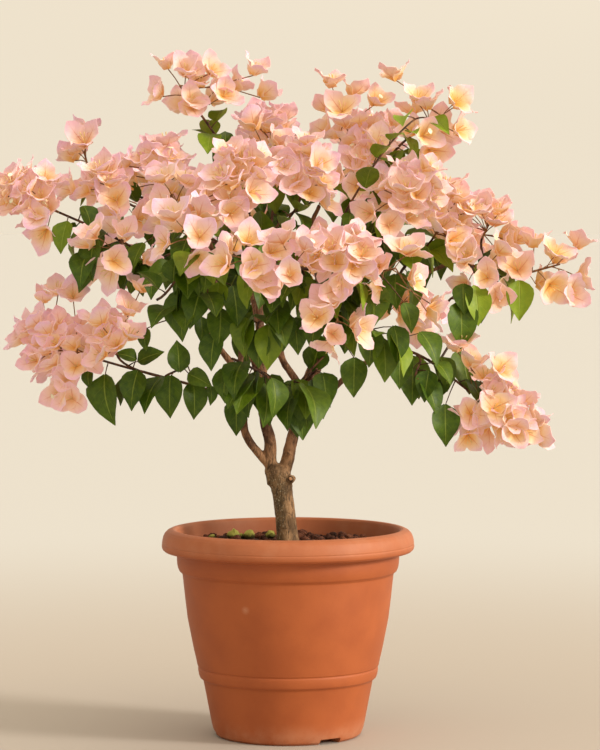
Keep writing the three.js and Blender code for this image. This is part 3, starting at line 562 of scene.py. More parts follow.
def lumpy(piece, size, depth, **settings):  # pushes a surface in and out by soft noise
    texture = bpy.data.textures.new("lumps", "CLOUDS")
    texture.noise_scale = size * mm
    press(piece, "DISPLACE", texture=texture, strength=depth * mm, texture_coords="LOCAL", **settings)


def makeSoil():
    level = pottingMix["level"]
    inner = sorted((high, wide) for wide, high in pot["inside"])

    def inside(high):  # the pot's inner radius at a height, less a thin gap
        for (lower, first), (upper, last) in zip(inner, inner[1:]):
            if lower <= high <= upper:
                return mix(first, last, (high - lower) / (upper - lower)) - pottingMix["gap"]
        return inner[0][1]

    rings = [(inside(high), high) for high in pottingMix["heights"]]
    rings += [(inside(level) - inward, level - down) for inward, down in pottingMix["rim"]]
    piece = turned("pottingMix", rings, pot["sides"])
    top = (level - pottingMix["top"]) * mm
    openMesh(piece)
    pick(piece, lambda face: all(v.co.z > top for v in face.verts), "faces")
    radius = rings[-1][0]
    for wide in pottingMix["rings"] + [pottingMix["hollow"]]:
        bpy.ops.mesh.inset(thickness=(radius - wide) * mm)
        radius = wide
    drawUp(-pottingMix["depth"])
    pick(piece, lambda edge: all(v.co.z > top for v in edge.verts), "edges")
    bpy.ops.mesh.subdivide(number_cuts=1)
    closeMesh()
    group = piece.vertex_groups.new(name="top")
    group.add([v.index for v in piece.data.vertices if v.co.z > top], 1, "REPLACE")
    lumpy(piece, pottingMix["lumpSize"], pottingMix["lump"] * 2, direction="Z", vertex_group="top")
    clods = []
    for n in range(pottingMix["clodShapes"]):
        aside = Vector((n * 10 * mm, 0, 0))  # each in its own part of the noise
        bpy.ops.mesh.primitive_ico_sphere_add(subdivisions=2, radius=mm, location=aside)
        clod = bpy.context.object
        bpy.ops.object.transform_apply(location=True)
        lumpy(clod, pottingMix["clodLumpSize"], pottingMix["clodLump"])
        openMesh(clod, "SELECT")
        bpy.ops.transform.translate(value=-aside)
        closeMesh()
        clods.append(clod)
    draw = draws(pottingMix["seed"])
    parts = [mark(piece, tone=pottingMix["tone"])]
    for part in parts + clods:
        part.data.materials.append(finishes["soil"])
    for n in range(pottingMix["clods"]):
        size = mix(*pottingMix["clodSizes"], draw(0, 1) ** pottingMix["spread"])
        nearest = pottingMix["hollow"] - pottingMix["fromHollow"]
        farthest = inside(level) - pottingMix["fromWall"] - size
        reach = mix(nearest, farthest, math.sqrt(draw(0, 1)))
        turn = draw(0, 2 * math.pi)
        high = level + draw(0, pottingMix["clodLift"]) * size
        place = Vector((reach * math.cos(turn), reach * math.sin(turn), high)) * mm
        spin = Matrix.Rotation(draw(0, 6.28), 3, "Z").to_quaternion()
        width, height = draw(*pottingMix["clodWidths"]), draw(*pottingMix["clodHeights"])
        shape = Matrix.LocRotScale(place, spin, Vector((1, width, height)) * size)
        parts.append(mark(twin(clods[n % len(clods)], shape), tone=draw(0, 1)))
    for n, (x, y, z, size) in enumerate(pottingMix["mossy"]):
        shape = Vector((1, 1, pottingMix["mossyHeight"])) * size
        place = Matrix.LocRotScale(Vector((x, y, z)) * mm, None, shape)
        pebble = mark(twin(clods[n % len(clods)], place), tone=draw(0, 1))
        pebble.data.materials[0] = finishes["moss"]
        parts.append(pebble)
    putAway(*clods)
    piece = joined("pottingMix", parts)
    bpy.ops.object.shade_smooth_by_angle(angle=math.radians(pottingMix["smoothTo"]))
    return piece


# lines of the plant

def bezier(start, leaving, end, arriving, share):
    third, left = (end - start).length / 3, 1 - share
    return (start * left ** 3 + (start + leaving * third) * 3 * left ** 2 * share
            + (end - arriving * third) * 3 * left * share ** 2 + end * share ** 3)


def around(points, share):  # the two points on either side of a share of a line, and how far on it is
    place = share * (len(points) - 1)
    before = min(int(place), len(points) - 2)
    return points[before], points[before + 1], place - before


def onLine(points, share):  # the point and the way on at a share of a line
    first, last, rest = around(points, share)
    return first.lerp(last, rest), (last - first).normalized()


def smoothed(points, steps):  # a soft line through the points
    fine = []
    for n in range(len(points) - 1):
        first, last = points[n], points[n + 1]
        leaving = (last - points[max(0, n - 1)]) / 2
        arriving = (points[min(len(points) - 1, n + 2)] - first) / 2
        for step in range(steps):
            t = step / steps
            fine.append(first * (2 * t ** 3 - 3 * t ** 2 + 1) + leaving * (t ** 3 - 2 * t ** 2 + t)
                        + last * (3 * t ** 2 - 2 * t ** 3) + arriving * (t ** 3 - t ** 2))
    return fine + [points[-1]]


def onLimb(name, share):
    first, last, rest = around(limbs[name], share)
    start, end = Vector(first[:3]), Vector(last[:3])
    return start.lerp(end, rest), mix(first[3], last[3], rest), (end - start).normalized()


def headWay(head):
    return Vector(head["middle"]), Vector(head["facing"]).normalized()


twig = {
    "start": 2.1, "sideStart": 1.5, "end": 1.5, "gap": 0.3, "forks": (0.35, 0.65), "coarse": (4, 3),
    "fine": 14, "beforeMiddle": 0.75, "runnerFine": 4,
}


def shootLines(shoot):
    goals = []
    for head in shoot["heads"]:
        middle, facing = headWay(head)
        goals.append((middle - facing * twig["beforeMiddle"] * head["stalk"], facing))
    spot, radius, tangent = onLimb(shoot["limb"], shoot["at"])
    for end in shoot.get("spurs", []) + shoot.get("sprigs", []):
        goals.append((Vector(end), (Vector(end) - spot).normalized()))
    lines = []
    for n, (goal, facing) in enumerate(goals):
        if n:
            root, leaving = onLine(lines[0]["coarse"], mix(*twig["forks"], (n - 1) / 2))
        elif shoot["at"] == 1:
            leaving = tangent
            root = spot + tangent * twig["gap"]
        else:
            toward = goal - spot
            outward = (toward - tangent * toward.dot(tangent)).normalized()
            lift = shoot.get("lift", 0)
            leaving = (outward + up * lift).normalized()
            root = spot + outward * (radius + 2 * twig["gap"] + lift * twig["start"])
        line = {"start": twig["sideStart"] if n else twig["start"]}
        for key, steps in (("coarse", twig["coarse"][n > 0]), ("fine", twig["fine"])):
            line[key] = [bezier(root, leaving, goal, facing, step / steps) for step in range(steps + 1)]
        line["length"] = (line["coarse"][-1] - line["coarse"][0]).length
        lines.append(line)
    return lines


bloom = {
    "leans": (1.75, 0.25), "leanPower": 0.85, "leanSway": 0.15, "turnSway": 0.25, "roots": (0.12, 0.96),
    "reaches": (17, 27), "sizes": (0.85, 1.08), "openings": (0.72, 0.95), "rise": 0.2, "forward": 0.15,
    "extraSize": 0.95, "extraOpening": 0.75, "spacing": 33, "rounds": 24, "share": 0.3, "lift": 0.4,
    "closer": 0.16, "between": 52, "apart": 14, "smaller": (0.78, 1.04), "onStem": 0.3, "shift": (-6, 3),
    "toLight": (0.25, -0.8, 0), "tips": [(-0.45, 0.45), (-0.45, 0.45), (-0.3, 0.4)],
    # warmer bracts on the sun's side to the right are painted sunlight; young blooms and a random sway add
    # the bracts' own warmer tint
    "warmth": {"middle": 0.5, "width": 420, "sway": 0.2, "ownSway": 0.15, "young": 0.25, "youngBelow": 0.9},
    "stalk": [1.5, 1.3, 1.0], "fork": [1.0, 0.9, 0.8], "stem": [0.75, 0.6, 0.7], "forkAt": 0.55, "forkSag": 2,
    "stemArch": 1.2,
}
goldenAngle = 2.39996
thirdTurn = 2 * math.pi / 3
# these numbers tell the draws of one thing from those of the next
seeds = {
    "head": 40, "extra": 30, "each": 100, "more": 5, "afterMore": 9000, "fill": 3, "afterFill": 5000,
    "tip": 7, "bract": 3, "star": (5, 11), "leaf": 60, "leafFrom": 5000, "hung": 61, "blade": 11,
}


def headBlooms(head, seed):
    middle, facing = headWay(head)
    foot = middle + facing * (twig["gap"] - twig["beforeMiddle"] * head["stalk"])
    u, v = across(facing)
    blooms = []
    for n in range(head["blooms"]):
        draw = draws(seed * seeds["head"] + n)
        share = (n + 0.5) / head["blooms"]
        lean = mix(*bloom["leans"], share ** bloom["leanPower"]) + draw(-bloom["leanSway"], bloom["leanSway"])
        turn = n * goldenAngle + seed + draw(-bloom["turnSway"], bloom["turnSway"])
        way = turnedFrom(facing, turnedFrom(u, v, turn), lean)
        root = foot + facing * head["stalk"] * mix(*bloom["roots"], share)
        hub = root + way * draw(*bloom["reaches"])
        blooms.append({"root": root, "hub": hub, "facing": facing, "spin": draw(0, thirdTurn),
                       "size": draw(*bloom["sizes"]), "opening": draw(*bloom["openings"])})
    for n, place in enumerate(head.get("extra", [])):
        draw = draws(seed * seeds["head"] + seeds["extra"] + n)
        root = foot + facing * head["stalk"] * bloom["roots"][0] * (n + 1)
        blooms.append({"root": root, "hub": Vector(place), "facing": facing, "spin": draw(0, thirdTurn),
                       "size": bloom["extraSize"], "opening": bloom["extraOpening"], "extra": True})
    for n, one in enumerate(blooms):
        one["seed"] = seed * seeds["each"] + n
    return foot, blooms


def spreadOut(blooms):  # hubs too near each other move apart a little at a time
    for step in range(bloom["rounds"]):
        for n, one in enumerate(blooms):
            for other in blooms[n + 1:]:
                apart = other["hub"] - one["hub"]
                short = bloom["spacing"] - apart.length
                if short > 0:
                    push = apart.normalized() * short * bloom["share"]
                    one["hub"] = one["hub"] - push
                    other["hub"] = other["hub"] + push


leaf = {
    "petiole": 12, "swing": 0.35, "stretch": (0.16, 0.94), "turnSway": 0.4,
    "droops": (0.5, 1.4), "sizes": (0.76, 1.14), "lightDepth": 40, "depthSpan": 60, "widthSpan": 500,
    "sideways": 0.5, "onward": 0.2, "stalkOnward": 0.35, "stalkDown": 0.1,
    "more": 0.95, "smaller": 0.9, "looseDroops": (-1.0, 0.9), "veer": 0.5, "roll": 0.5, "still": 0.35,
    "onSprig": 4, "onRunner": 7, "byHeight": (1.05, 0.72), "low": 450, "span": 250,
    "stems": [0.9, 0.7, 0.6], "stalkBend": 0.8, "stalkIn": 0.8, "runnerEnd": 0.9,
    # how lit the leaves are painted: lighter the higher they hang and the further right towards the sun, with
    # a random sway
    "sun": {"base": 0.25, "low": 430, "span": 700, "width": 1500, "sway": (-0.3, 0.35)},
    # where each kind starts, and what it adds to the seed
    "kinds": {"own": (0.6, 0), "loose": (0.15, 31), "sprig": (0.5, 57), "runner": (0.5, 83)},
}


def bladeWays(heading, droop):  # the way a blade runs, and the way its upper side looks
    outward = Vector((math.cos(heading), math.sin(heading), 0))
    return turnedFrom(outward, -up, droop), turnedFrom(up, outward, droop)


def shootLeaves(lines, seed, count, kind):
    start, after = leaf["kinds"][kind]
    total = sum(line["length"] for line in lines)
    leaves = []
    for n in range(count):
        draw = draws(seed * seeds["leaf"] + n + seeds["leafFrom"] + after)
        run = total * (n + start) / count
        on = 0
        while on + 1 < len(lines) and run > lines[on]["length"]:
            run -= lines[on]["length"]
            on += 1
        share = mix(*leaf["stretch"], min(run / lines[on]["length"], 1))
        spot, tangent = onLine(lines[on]["coarse"], share)
        u, v = across(tangent)
        turn = n * goldenAngle + after + draw(-leaf["turnSway"], leaf["turnSway"])
        side = turnedFrom(u, v, turn)
        depth = (spot.y - leaf["lightDepth"]) / leaf["depthSpan"]
        light = Vector((spot.x / leaf["widthSpan"], within(depth, -1), 0))
        flat = light + side * leaf["sideways"] + tangent * leaf["onward"]
        heading = math.atan2(flat.y, flat.x)
        droop = draw(*leaf["looseDroops" if after else "droops"])
        along, face = bladeWays(heading, droop)
        way = (side + tangent * leaf["stalkOnward"] - up * leaf["stalkDown"]).normalized()
        way = (way + along * max(0, leaf["swing"] - way.dot(along))).normalized()
        size = draw(*leaf["sizes"]) * (leaf["smaller"] if after else 1)
        fine = onLine(lines[on]["fine"], share)[0]
        leaves.append({"root": fine, "base": spot + way * leaf["petiole"] * size, "along": along,
                       "face": face, "size": size, "seed": seed * seeds["each"] + n + after})
    return leaves


def hungLeaves(shoot, lines, seed):  # where each blade starts, its heading, droop, size and roll
    spots = [spot for line in lines for spot in line["fine"]]
    leaves = []
    for n, (x, y, z, heading, droop, size, roll) in enumerate(shoot.get("hung", [])):
        base = Vector((x, y, z))
        along, face = bladeWays(math.radians(heading), droop)
        behind = base - along * leaf["petiole"] * size
        root = min(spots, key=lambda spot: (spot - behind).length)
        face = Matrix.Rotation(math.radians(roll), 3, along) @ face
        leaves.append({"root": root, "base": base, "along": along, "face": face, "size": size,
                       "seed": seed * seeds["each"] + n + seeds["hung"], "still": leaf["still"]})
    return leaves


# one sheet of paper-thin bract or leaf, drawn out from a grid: length along y, its upper side towards z

sheet = {
    "bends": (0.5, 1.4), "ruffleReach": (0.7, 1.3), "ruffleEdge": 1.5, "curlPower": 2.5, "aside": 0.6,
    "weld": 0.02, "smoothTo": 70,
}


def drawSheet(name, shape, seed):  # gives an even grid its outline, cup, keel, curled tip and ruffles
    columns, rows = shape["columns"], len(shape["outline"]) - 1
    clearAll()
    bpy.ops.mesh.primitive_grid_add(
        x_subdivisions=columns, y_subdivisions=rows, size=1, calc_uvs=True, location=(0, 0.5, 0))
    piece = bpy.context.object
    piece.name = name
    bpy.ops.object.transform_apply(location=True)
    draw = draws(seed)
    lean = draw(-1, 1) * shape["lean"]
    cup, curl, bow = (shape[key] * draw(*sheet["bends"]) for key in ("cup", "curl", "bow"))
    ruffles = [(draw(0, 6.28), draw(*sheet["ruffleReach"])) for hand in range(2)]
    for v in piece.data.vertices:
        row, column = round(v.co.y * rows), round((v.co.x + 0.5) * columns)
        at, hand = row / rows, 2 * column / columns - 1
        out = abs(hand)
        wide = shape["outline"][row]
        phase, reach = ruffles[hand > 0]
        ruffle = math.sin(6.28 * shape["ruffles"] * at + phase) * reach * shape["wave"]
        ruffle *= out ** sheet["ruffleEdge"]
        lift = (cup * (1 - shape["flare"] * at) * out ** 2 + shape["keel"] * out) * wide
        lift += bow * math.sin(math.pi * at) - curl * at ** sheet["curlPower"] + ruffle * min(1, 2 * wide)
        along = at - shape["lobe"] * max(0, 1 - 3 * at) * out ** 2
        v.co = Vector((
            (hand * (wide + sheet["aside"] * ruffle) + lean * at ** 2) * shape["halfWidth"],
            along * shape["length"], lift * shape["length"])) * mm
    press(piece, "SOLIDIFY", thickness=shape["thickness"] * mm, offset=0)
    openMesh(piece, "SELECT")
    bpy.ops.mesh.remove_doubles(threshold=sheet["weld"] * mm)
    closeMesh(faceOut=True)
    under = piece.data.attributes.new("under", "FLOAT", "POINT")  # which of its two sides a point lies on
    under.data.foreach_set("value", [float(v.normal.z < 0) for v in piece.data.vertices])
    bpy.ops.object.shade_smooth_by_angle(angle=math.radians(sheet["smoothTo"]))
    return piece


def strandMesh(name, strands, sides=1):  # one mesh of tapered round strands: points and radii in mm
    curve = bpy.data.curves.new(name, "CURVE")
    curve.dimensions = "3D"
    curve.bevel_depth = mm
    curve.bevel_resolution = sides
    curve.resolution_u = 3
    curve.use_fill_caps = True
    for points, radii in strands:
        spline = curve.splines.new("POLY")
        spline.points.add(len(points) - 1)
        for knot, point, radius in zip(spline.points, points, radii):
            knot.co = (*(Vector(point) * mm), 1)
            knot.radius = radius
    hold(stand(name, curve))
    bpy.ops.object.convert(target="MESH")
    piece = bpy.context.object
    piece.data.shade_smooth()
    return piece


def mark(piece, **values):  # gives every point of a piece the same named values
    for key, value in values.items():
        own = piece.data.attributes.get(key) or piece.data.attributes.new(key, "FLOAT", "POINT")
        own.data.foreach_set("value", [value] * len(piece.data.vertices))
    return piece


def placed(x, y, z, spot, size):  # where a twin goes: its three axes, its place in mm and its size
    return Matrix(((*[a * size for a in (x.x, y.x, z.x)], spot.x * mm),
                   (*[a * size for a in (x.y, y.y, z.y)], spot.y * mm),
                   (*[a * size for a in (x.z, y.z, z.z)], spot.z * mm), (0, 0, 0, 1)))


# the outline gives the half width at each row, from root to tip
bract = {
    "columns": 4, "outline": [0.3, 0.7, 0.93, 1.0, 0.99, 0.91, 0.74, 0.44, 0.04], "length": 32,
    "halfWidth": 13.6, "thickness": 0.4, "cup": 0.32, "flare": 1.25, "keel": 0.02, "bow": -0.08, "curl": 0.13,
    "wave": 0.085, "ruffles": 2.3, "lobe": 0.08, "lean": 0.16, "shapes": 8, "seed": 300, "sway": 0.26,
    "turnSway": 0.2, "sizes": (0.93, 1.05), "outward": 0.4, "apart": 0.35,
}
tube = {
    "length": 17, "foot": 0.4, "budSides": 6, "starSides": 10, "star": 4.2, "opened": 29,
    "rises": [(0.2, 1.5), (0.3, 0.8), (0.35, 1.25), (0.1, 1.15)], "budTip": (0.08, 0.25),
    "throat": 0.5, "rim": 0.3, "petals": 0.62, "dip": 0.5, "above": 0.1, "notch": 0.5,
    "lean": 0.45, "lift": 0.6,
}


def makeTube(opened):  # a slim flower tube along z, closed in a bud or open in a cream star
    clearAll()
    bpy.ops.mesh.primitive_circle_add(
        vertices=tube["starSides" if opened else "budSides"], radius=tube["foot"] * mm, fill_type="NGON")
    piece = bpy.context.object
    openMesh(piece, "SELECT")
    for share, wider in tube["rises"] + ([] if opened else [tube["budTip"]]):
        drawUp(share * tube["length"])
        widen(wider)
    if opened:
        top = max(v.co.z for v in bmesh.from_edit_mesh(piece.data).verts)
        drawUp(tube["throat"])
        widen(tube["star"] / (tube["foot"] * math.prod(wider for share, wider in tube["rises"])))
        drawUp(tube["rim"])
        bpy.ops.mesh.inset(thickness=tube["star"] * tube["petals"] * mm, depth=-tube["dip"] * mm)
        corner = 2 * math.pi / tube["starSides"]  # every other corner of the star is drawn in
        pick(piece, lambda v: v.co.z > top + tube["above"] * mm and v.co.xy.length > tube["star"] / 2 * mm
             and round(math.atan2(v.co.y, v.co.x) / corner) % 2 == 1)
        widen(tube["notch"])
    closeMesh(faceOut=True)
    piece.data.shade_smooth()
    return piece


def smallBloom(near, root, hub, draw, after, **own):  # it faces as the bloom near it does
    return {"root": root, "hub": hub, "facing": near["facing"], "spin": draw(0, thirdTurn),
            "size": draw(*bloom["smaller"]), "opening": draw(*bloom["openings"]),
            "seed": near["seed"] + after, **own}


def fillBetween(heads):  # smaller blooms in the gaps of the heads
    hubs = [one["hub"] for head, foot, blooms in heads for one in blooms]
    grown = [(head, foot, list(blooms)) for head, foot, blooms in heads]
    firsts = [blooms for head, foot, blooms in heads]
    for (head, foot, blooms), first in zip(grown, firsts):
        for n, place in enumerate(head.get("more", [])):
            hub = Vector(place)
            near = min(first, key=lambda one: (one["hub"] - hub).length)
            draw = draws(near["seed"] * seeds["more"] + n)
            hubs.append(hub)
            root = near["root"].lerp(near["hub"], bloom["onStem"])
            after = seeds["afterMore"] + n
            blooms.append(smallBloom(near, root, hub, draw, after, toLight=Vector(bloom["toLight"])))
        for one in first if head.get("fill", True) else []:
            for other in sum(firsts, []):
                if other is one or (other["hub"] - one["hub"]).length > bloom["between"]:
                    continue
                draw = draws(one["seed"] + other["seed"] * seeds["fill"])
                axis = (one["hub"] - one["root"]).normalized()
                hub = one["hub"].lerp(other["hub"], 0.5) + axis * draw(*bloom["shift"])
                if min((hub - known).length for known in hubs) < bloom["apart"]:
                    continue
                hubs.append(hub)
                blooms.append(smallBloom(one, one["root"], hub, draw, seeds["afterFill"] + len(hubs)))
    return grown


def bractPlaces(one):  # where the three bracts of a bloom stand, and which way each looks
    tip = draws(one["seed"] + seeds["tip"])
    axis = (one["hub"] - one["root"]).normalized() + one["facing"] * bloom["forward"]
    axis += up * (bloom["rise"] + bloom["lift"]) + Vector([tip(*span) for span in bloom["tips"]])
    axis += one.get("toLight", Vector())
    axis.normalize()
    u, v = across(axis)
    places = []
    for n in range(3):
        turn = one["spin"] + n * thirdTurn
        draw = draws(one["seed"] * seeds["bract"] + n)
        opening = one["opening"] - bloom["closer"] + draw(-bract["sway"], bract["sway"])
        turn += draw(-bract["turnSway"], bract["turnSway"])
        out = turnedFrom(u, v, turn)
        along, inward = turnedFrom(axis, out, opening), turnedFrom(-out, axis, opening)
        places.append((-axis.cross(out), along, inward, draw))
    return axis, places


def makeHead(head, foot, blooms, patterns):
    sheets, buds, stars = patterns
    facing = headWay(head)[1]
    parts = []
    end = foot + facing * head["stalk"]
    strands = [([foot, foot.lerp(end, 0.5), end], bloom["stalk"])]
    # painted sunlight: heads further to the right, on the sun's side, are painted warmer; the random sway is
    # their own tint
    sun = bloom["warmth"]
    tone = draws(sum(map(ord, head["name"])))
    warmth = within(sun["middle"] + end.x / sun["width"] + tone(-sun["sway"], sun["sway"]))
    loose = [one["hub"] for one in blooms if "extra" in one]
    if loose:  # the blooms that stand apart share one longer stem as far as its fork
        fork = end.lerp(sum(loose, Vector()) / len(loose), bloom["forkAt"])
        strands.append(([end, end.lerp(fork, 0.5) - up * bloom["forkSag"], fork], bloom["fork"]))
    for one in blooms:
        axis, places = bractPlaces(one)
        young = one["size"] < sun["youngBelow"]
        root = fork if "extra" in one else one["root"]
        for n, (x, y, z, draw) in enumerate(places):
            shape = oneOf(sheets, draw)
            size = one["size"] * draw(*bract["sizes"])
            spot = one["hub"] + y * bract["outward"] + axis * (bract["apart"] * n)
            piece = twin(shape, placed(x, y, z, spot, size))
            own = draw(-sun["ownSway"], sun["ownSway"])
            mark(piece, warmth=within(warmth + own + sun["young"] * young), tone=draw(0, 1))
            reach = (axis + y * tube["lean"]).normalized()
            a, b = across(reach)
            star = (one["seed"] * seeds["star"][0] + n * seeds["star"][1]) % tube["opened"] == 0
            spot = one["hub"] + axis * tube["lift"]
            parts += [piece, twin(stars if star else buds, placed(a, b, reach, spot, size))]
        middle = root.lerp(one["hub"], 0.5) + up * bloom["stemArch"]
        strands.append(([root, middle, one["hub"]], bloom["stem"]))
    stems = strandMesh("stems", strands, 0)
    stems.data.materials.append(finishes["stem"])
    piece = joined("head_" + head["name"], [stems] + parts)
    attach(piece, "root")
    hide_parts("blooms_" + head["name"])
    return piece


leafSheet = {
    "columns": 4, "outline": [0.08, 0.7, 0.96, 1.0, 0.95, 0.82, 0.59, 0.29, 0.02], "length": 51,
    "halfWidth": 17.5, "thickness": 0.5, "cup": 0.03, "flare": 0.5, "keel": 0.1, "bow": 0.06, "curl": 0.16,
    "wave": 0.035, "ruffles": 1.6, "lobe": 0.02, "lean": 0.15, "shapes": 5, "seed": 500,
}


def makeShoot(shoot, runs, leaves, sheets):
    parts = []
    strands = []
    for line in runs:
        last = len(line["fine"]) - 1
        end = line.get("end", twig["end"])
        strands.append((line["fine"], [mix(line["start"], end, n / last) for n in range(last + 1)]))
    for one in leaves:
        draw = draws(one["seed"] + seeds["blade"])
        loose = one.get("still", 1)
        veer = Matrix.Rotation(draw(-leaf["veer"], leaf["veer"]) * loose, 3, "Z")
        along = veer @ one["along"]
        roll = Matrix.Rotation(draw(-leaf["roll"], leaf["roll"]) * loose, 3, along)  # about its midrib
        face = roll @ veer @ one["face"]
        shape = oneOf(sheets, draw)
        size = one["size"] * mix(*leaf["byHeight"], within((one["base"].z - leaf["low"]) / leaf["span"]))
        piece = twin(shape, placed(along.cross(face), along, face, one["base"], size))
        # painted light: leaves higher up and further to the sun's side are painted lighter
        sun = leaf["sun"]
        warmth = sun["base"] + (one["base"].z - sun["low"]) / sun["span"] + one["base"].x / sun["width"]
        mark(piece, warmth=within(warmth + draw(*sun["sway"])), tone=draw(0, 1))
        parts.append(piece)
        bend = one["root"].lerp(one["base"], 0.5) + up * leaf["stalkBend"]
        strands.append(([one["root"], bend, one["base"] + along * leaf["stalkIn"]], leaf["stems"]))
    stems = strandMesh("twigs", strands)
    stems.data.materials.append(finishes["twig"])
    piece = joined("leaves_" + shoot["name"], [stems] + parts)
    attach(piece, "root")
    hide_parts("shoot_" + shoot["name"])
    return piece


# swellings, knots and the cut stub are x, y, z and radius
wood = {
    "voxel": 1.3, "smooth": 4, "lump": 1.1, "lumpSize": 7, "steps": 4, "taller": 1.25,
    "swellings": [(-13.5, 0, 307, 12.6), (-54, -7, 376, 6.4), (9, 2, 366, 8.6), (-28, 2, 384, 7.6),
                  (33, 3, 436, 6.8), (-30, 4, 410, 6.9), (46, -9, 405, 5.2), (20, 2, 404, 7.2)],
    "knots": [(-22, -6, 301, 3.4), (1, -7, 335, 2.8), (-19, -7, 347, 2.8), (-28, -7, 358, 2.4),
              (12, -6, 384, 2.2)],
    "stub": [(-4, -3, 300, 6), (3, -10, 305.5, 4.6), (4.6, -12.4, 307.6, 4.1)],
}


def makeWood():
    strands = []
    for rings in list(limbs.values()) + [wood["stub"]]:
        steps = wood["steps"]
        fine = smoothed([Vector(ring[:3]) for ring in rings], steps)
        radii = [mix(first[3], last[3], step / steps)
                 for first, last in zip(rings, rings[1:]) for step in range(steps)]
        strands.append((fine, radii + [rings[-1][3]]))
    parts = [strandMesh("limbs", strands, 4)]
    for x, y, z, radius in wood["swellings"] + wood["knots"]:
        clearAll()
        bpy.ops.mesh.primitive_ico_sphere_add(
            subdivisions=3, radius=radius * mm, location=Vector((x, y, z)) * mm, scale=(1, 1, wood["taller"]))
        parts.append(bpy.context.object)
    piece = joined("trunkAndLimbs", parts)
    press(piece, "REMESH", mode="VOXEL", voxel_size=wood["voxel"] * mm)
    press(piece, "SMOOTH", factor=0.5, iterations=wood["smooth"])
    lumpy(piece, wood["lumpSize"], wood["lump"])
    piece.data.shade_smooth()
    return piece


# finishes

finishes = {}


foliage = {
    # shaded and sunlit greens of the leaves: painted shade and painted light
    "shadedDeepGreen": [(46, 74, 1), (81, 107, 4)], "lit": [(106, 138, 18), (152, 168, 38)], "vein": (140, 156, 56),
    "grain": 160, "fineGrain": 420, "veins": 13, "slant": 4, "waver": 0.8, "rough": (0.38, 0.25),
}


def leafGreen():
    coat = Finish("leafGreen", Subsurface_Weight=0.12, Subsurface_Radius=(0.002, 0.003, 0.001),
                  Specular_IOR_Level=0.32)
    x, y, z = coat.axes(coat.node("ShaderNodeUVMap", output="UV"))
    sun, tone = coat.own("warmth"), coat.own("tone")
    out = abs(x - 0.5) * 2
    spot = coat.place()
    grain = coat.noise(spot, foliage["grain"], 3)
    # painted light and shade: leaves away from the sun get the deep, shaded greens, those towards it the lit
    # ones
    shadedDeepGreen = coat.blend(*foliage["shadedDeepGreen"], (grain - 0.3) * 1.8 + tone * 0.3)
    colour = coat.blend(shadedDeepGreen, coat.blend(*foliage["lit"], grain), sun.between(0.35, 0.95))
    # the side veins slant away from the midrib
    side = y * foliage["veins"] - out * foliage["slant"] + coat.noise(spot, 60, 1) * foliage["waver"]
    veins = abs(side.wave()).between(0.16, 0.0) * (1 - out * 0.6)
    rib = out.between(0.07, 0.02)
    colour = coat.blend(colour, foliage["vein"], (rib * 0.6 + veins * 0.2).clamped())
    height = grain * 0.3 - veins * 0.5 - rib * 0.8 + coat.noise(spot, foliage["fineGrain"], 2) * 0.3
    least, more = foliage["rough"]
    return coat.shade(colour, coat.noise(spot, 90) * more + least, height, depth=0.0006, strength=0.6)


# each ramp runs from a bract's root to its tip: how far along, and the colour there
paper = {
    "pink": [(0.0, 198, 131, 42), (0.2, 209, 162, 86), (0.46, 217, 187, 152), (0.74, 219, 187, 185),
             (0.95, 216, 176, 196)],
    "warm": [(0.0, 200, 129, 38), (0.24, 211, 160, 80), (0.52, 218, 187, 142), (0.8, 220, 189, 179),
             (0.95, 219, 182, 190)],
    "mauve": (203, 172, 203), "pale": (217, 208, 200), "under": (211, 170, 174), "vein": (186, 96, 80),
    # the colour and strength of a painted glow: emission that stands in for light passing through the bracts
    "paintedGlowColour": (226, 160, 100), "glow": 0.28, "drift": 45, "grain": 260,
    "veins": 10, "slant": 3.2, "waver": 1.6,
}


def bractPaper():
    # the bracts glow a little by emission, a painted glow though they are no lamp
    coat = Finish("bractPaper", Subsurface_Weight=0.65, Subsurface_Radius=(0.005, 0.0038, 0.0034),
                  Specular_IOR_Level=0.2, Emission_Strength=paper["glow"])
    x, y, z = coat.axes(coat.node("ShaderNodeUVMap", output="UV"))
    warmth, tone, under = coat.own("warmth"), coat.own("tone"), coat.own("under")
    out = abs(x - 0.5) * 2
    spot = coat.place()
    drift = coat.noise(spot, paper["drift"], 3) - 0.5
    reach = (y + drift * 0.35 + out * 0.18).clamped()
    pink, warm = coat.ramp(reach, paper["pink"]), coat.ramp(reach, paper["warm"])
    # the warm ramp on the sun's side is painted sunlight; in young blooms it is their own colour
    colour = coat.blend(pink, warm, warmth.between(0.15, 0.95))
    colour = coat.blend(colour, paper["mauve"], (tone.between(0.6, 1.0) * reach * 0.5).clamped())
    # paler margins: partly the bracts' own colour, partly a painted highlight along the thin lit edges; some
    # whole bracts are paler at random
    colour = coat.blend(colour, paper["pale"], out.between(0.72, 1.0) * 0.24 + tone.between(0.3, 0.0) * 0.2)
    colour = coat.blend(colour, paper["under"], (under * (0.2 + reach * 0.3)).clamped())
    side = y * paper["veins"] - out * paper["slant"] + coat.noise(spot, 70, 2) * paper["waver"]
    veins = abs(side.wave()).between(0.14, 0.0) * out.between(1.0, 0.5)
    rib = out.between(0.06, 0.015) * y.between(0.95, 0.3)
    colour = coat.blend(colour, paper["vein"], (rib * 0.6 + veins * 0.26).clamped())
    height = coat.noise(spot, paper["grain"], 3) * 0.6 - veins * 0.5 - rib * 0.8
    paintedGlowColour = coat.blend(colour, paper["paintedGlowColour"], 0.4)  # painted glow: emission in a more orange colour stands in for the light that passes through the sheets
    coat.put(coat.shader.inputs["Emission Color"], paintedGlowColour)
    return coat.shade(colour, 0.62 + drift * 0.2, height, depth=0.0007, strength=0.5)


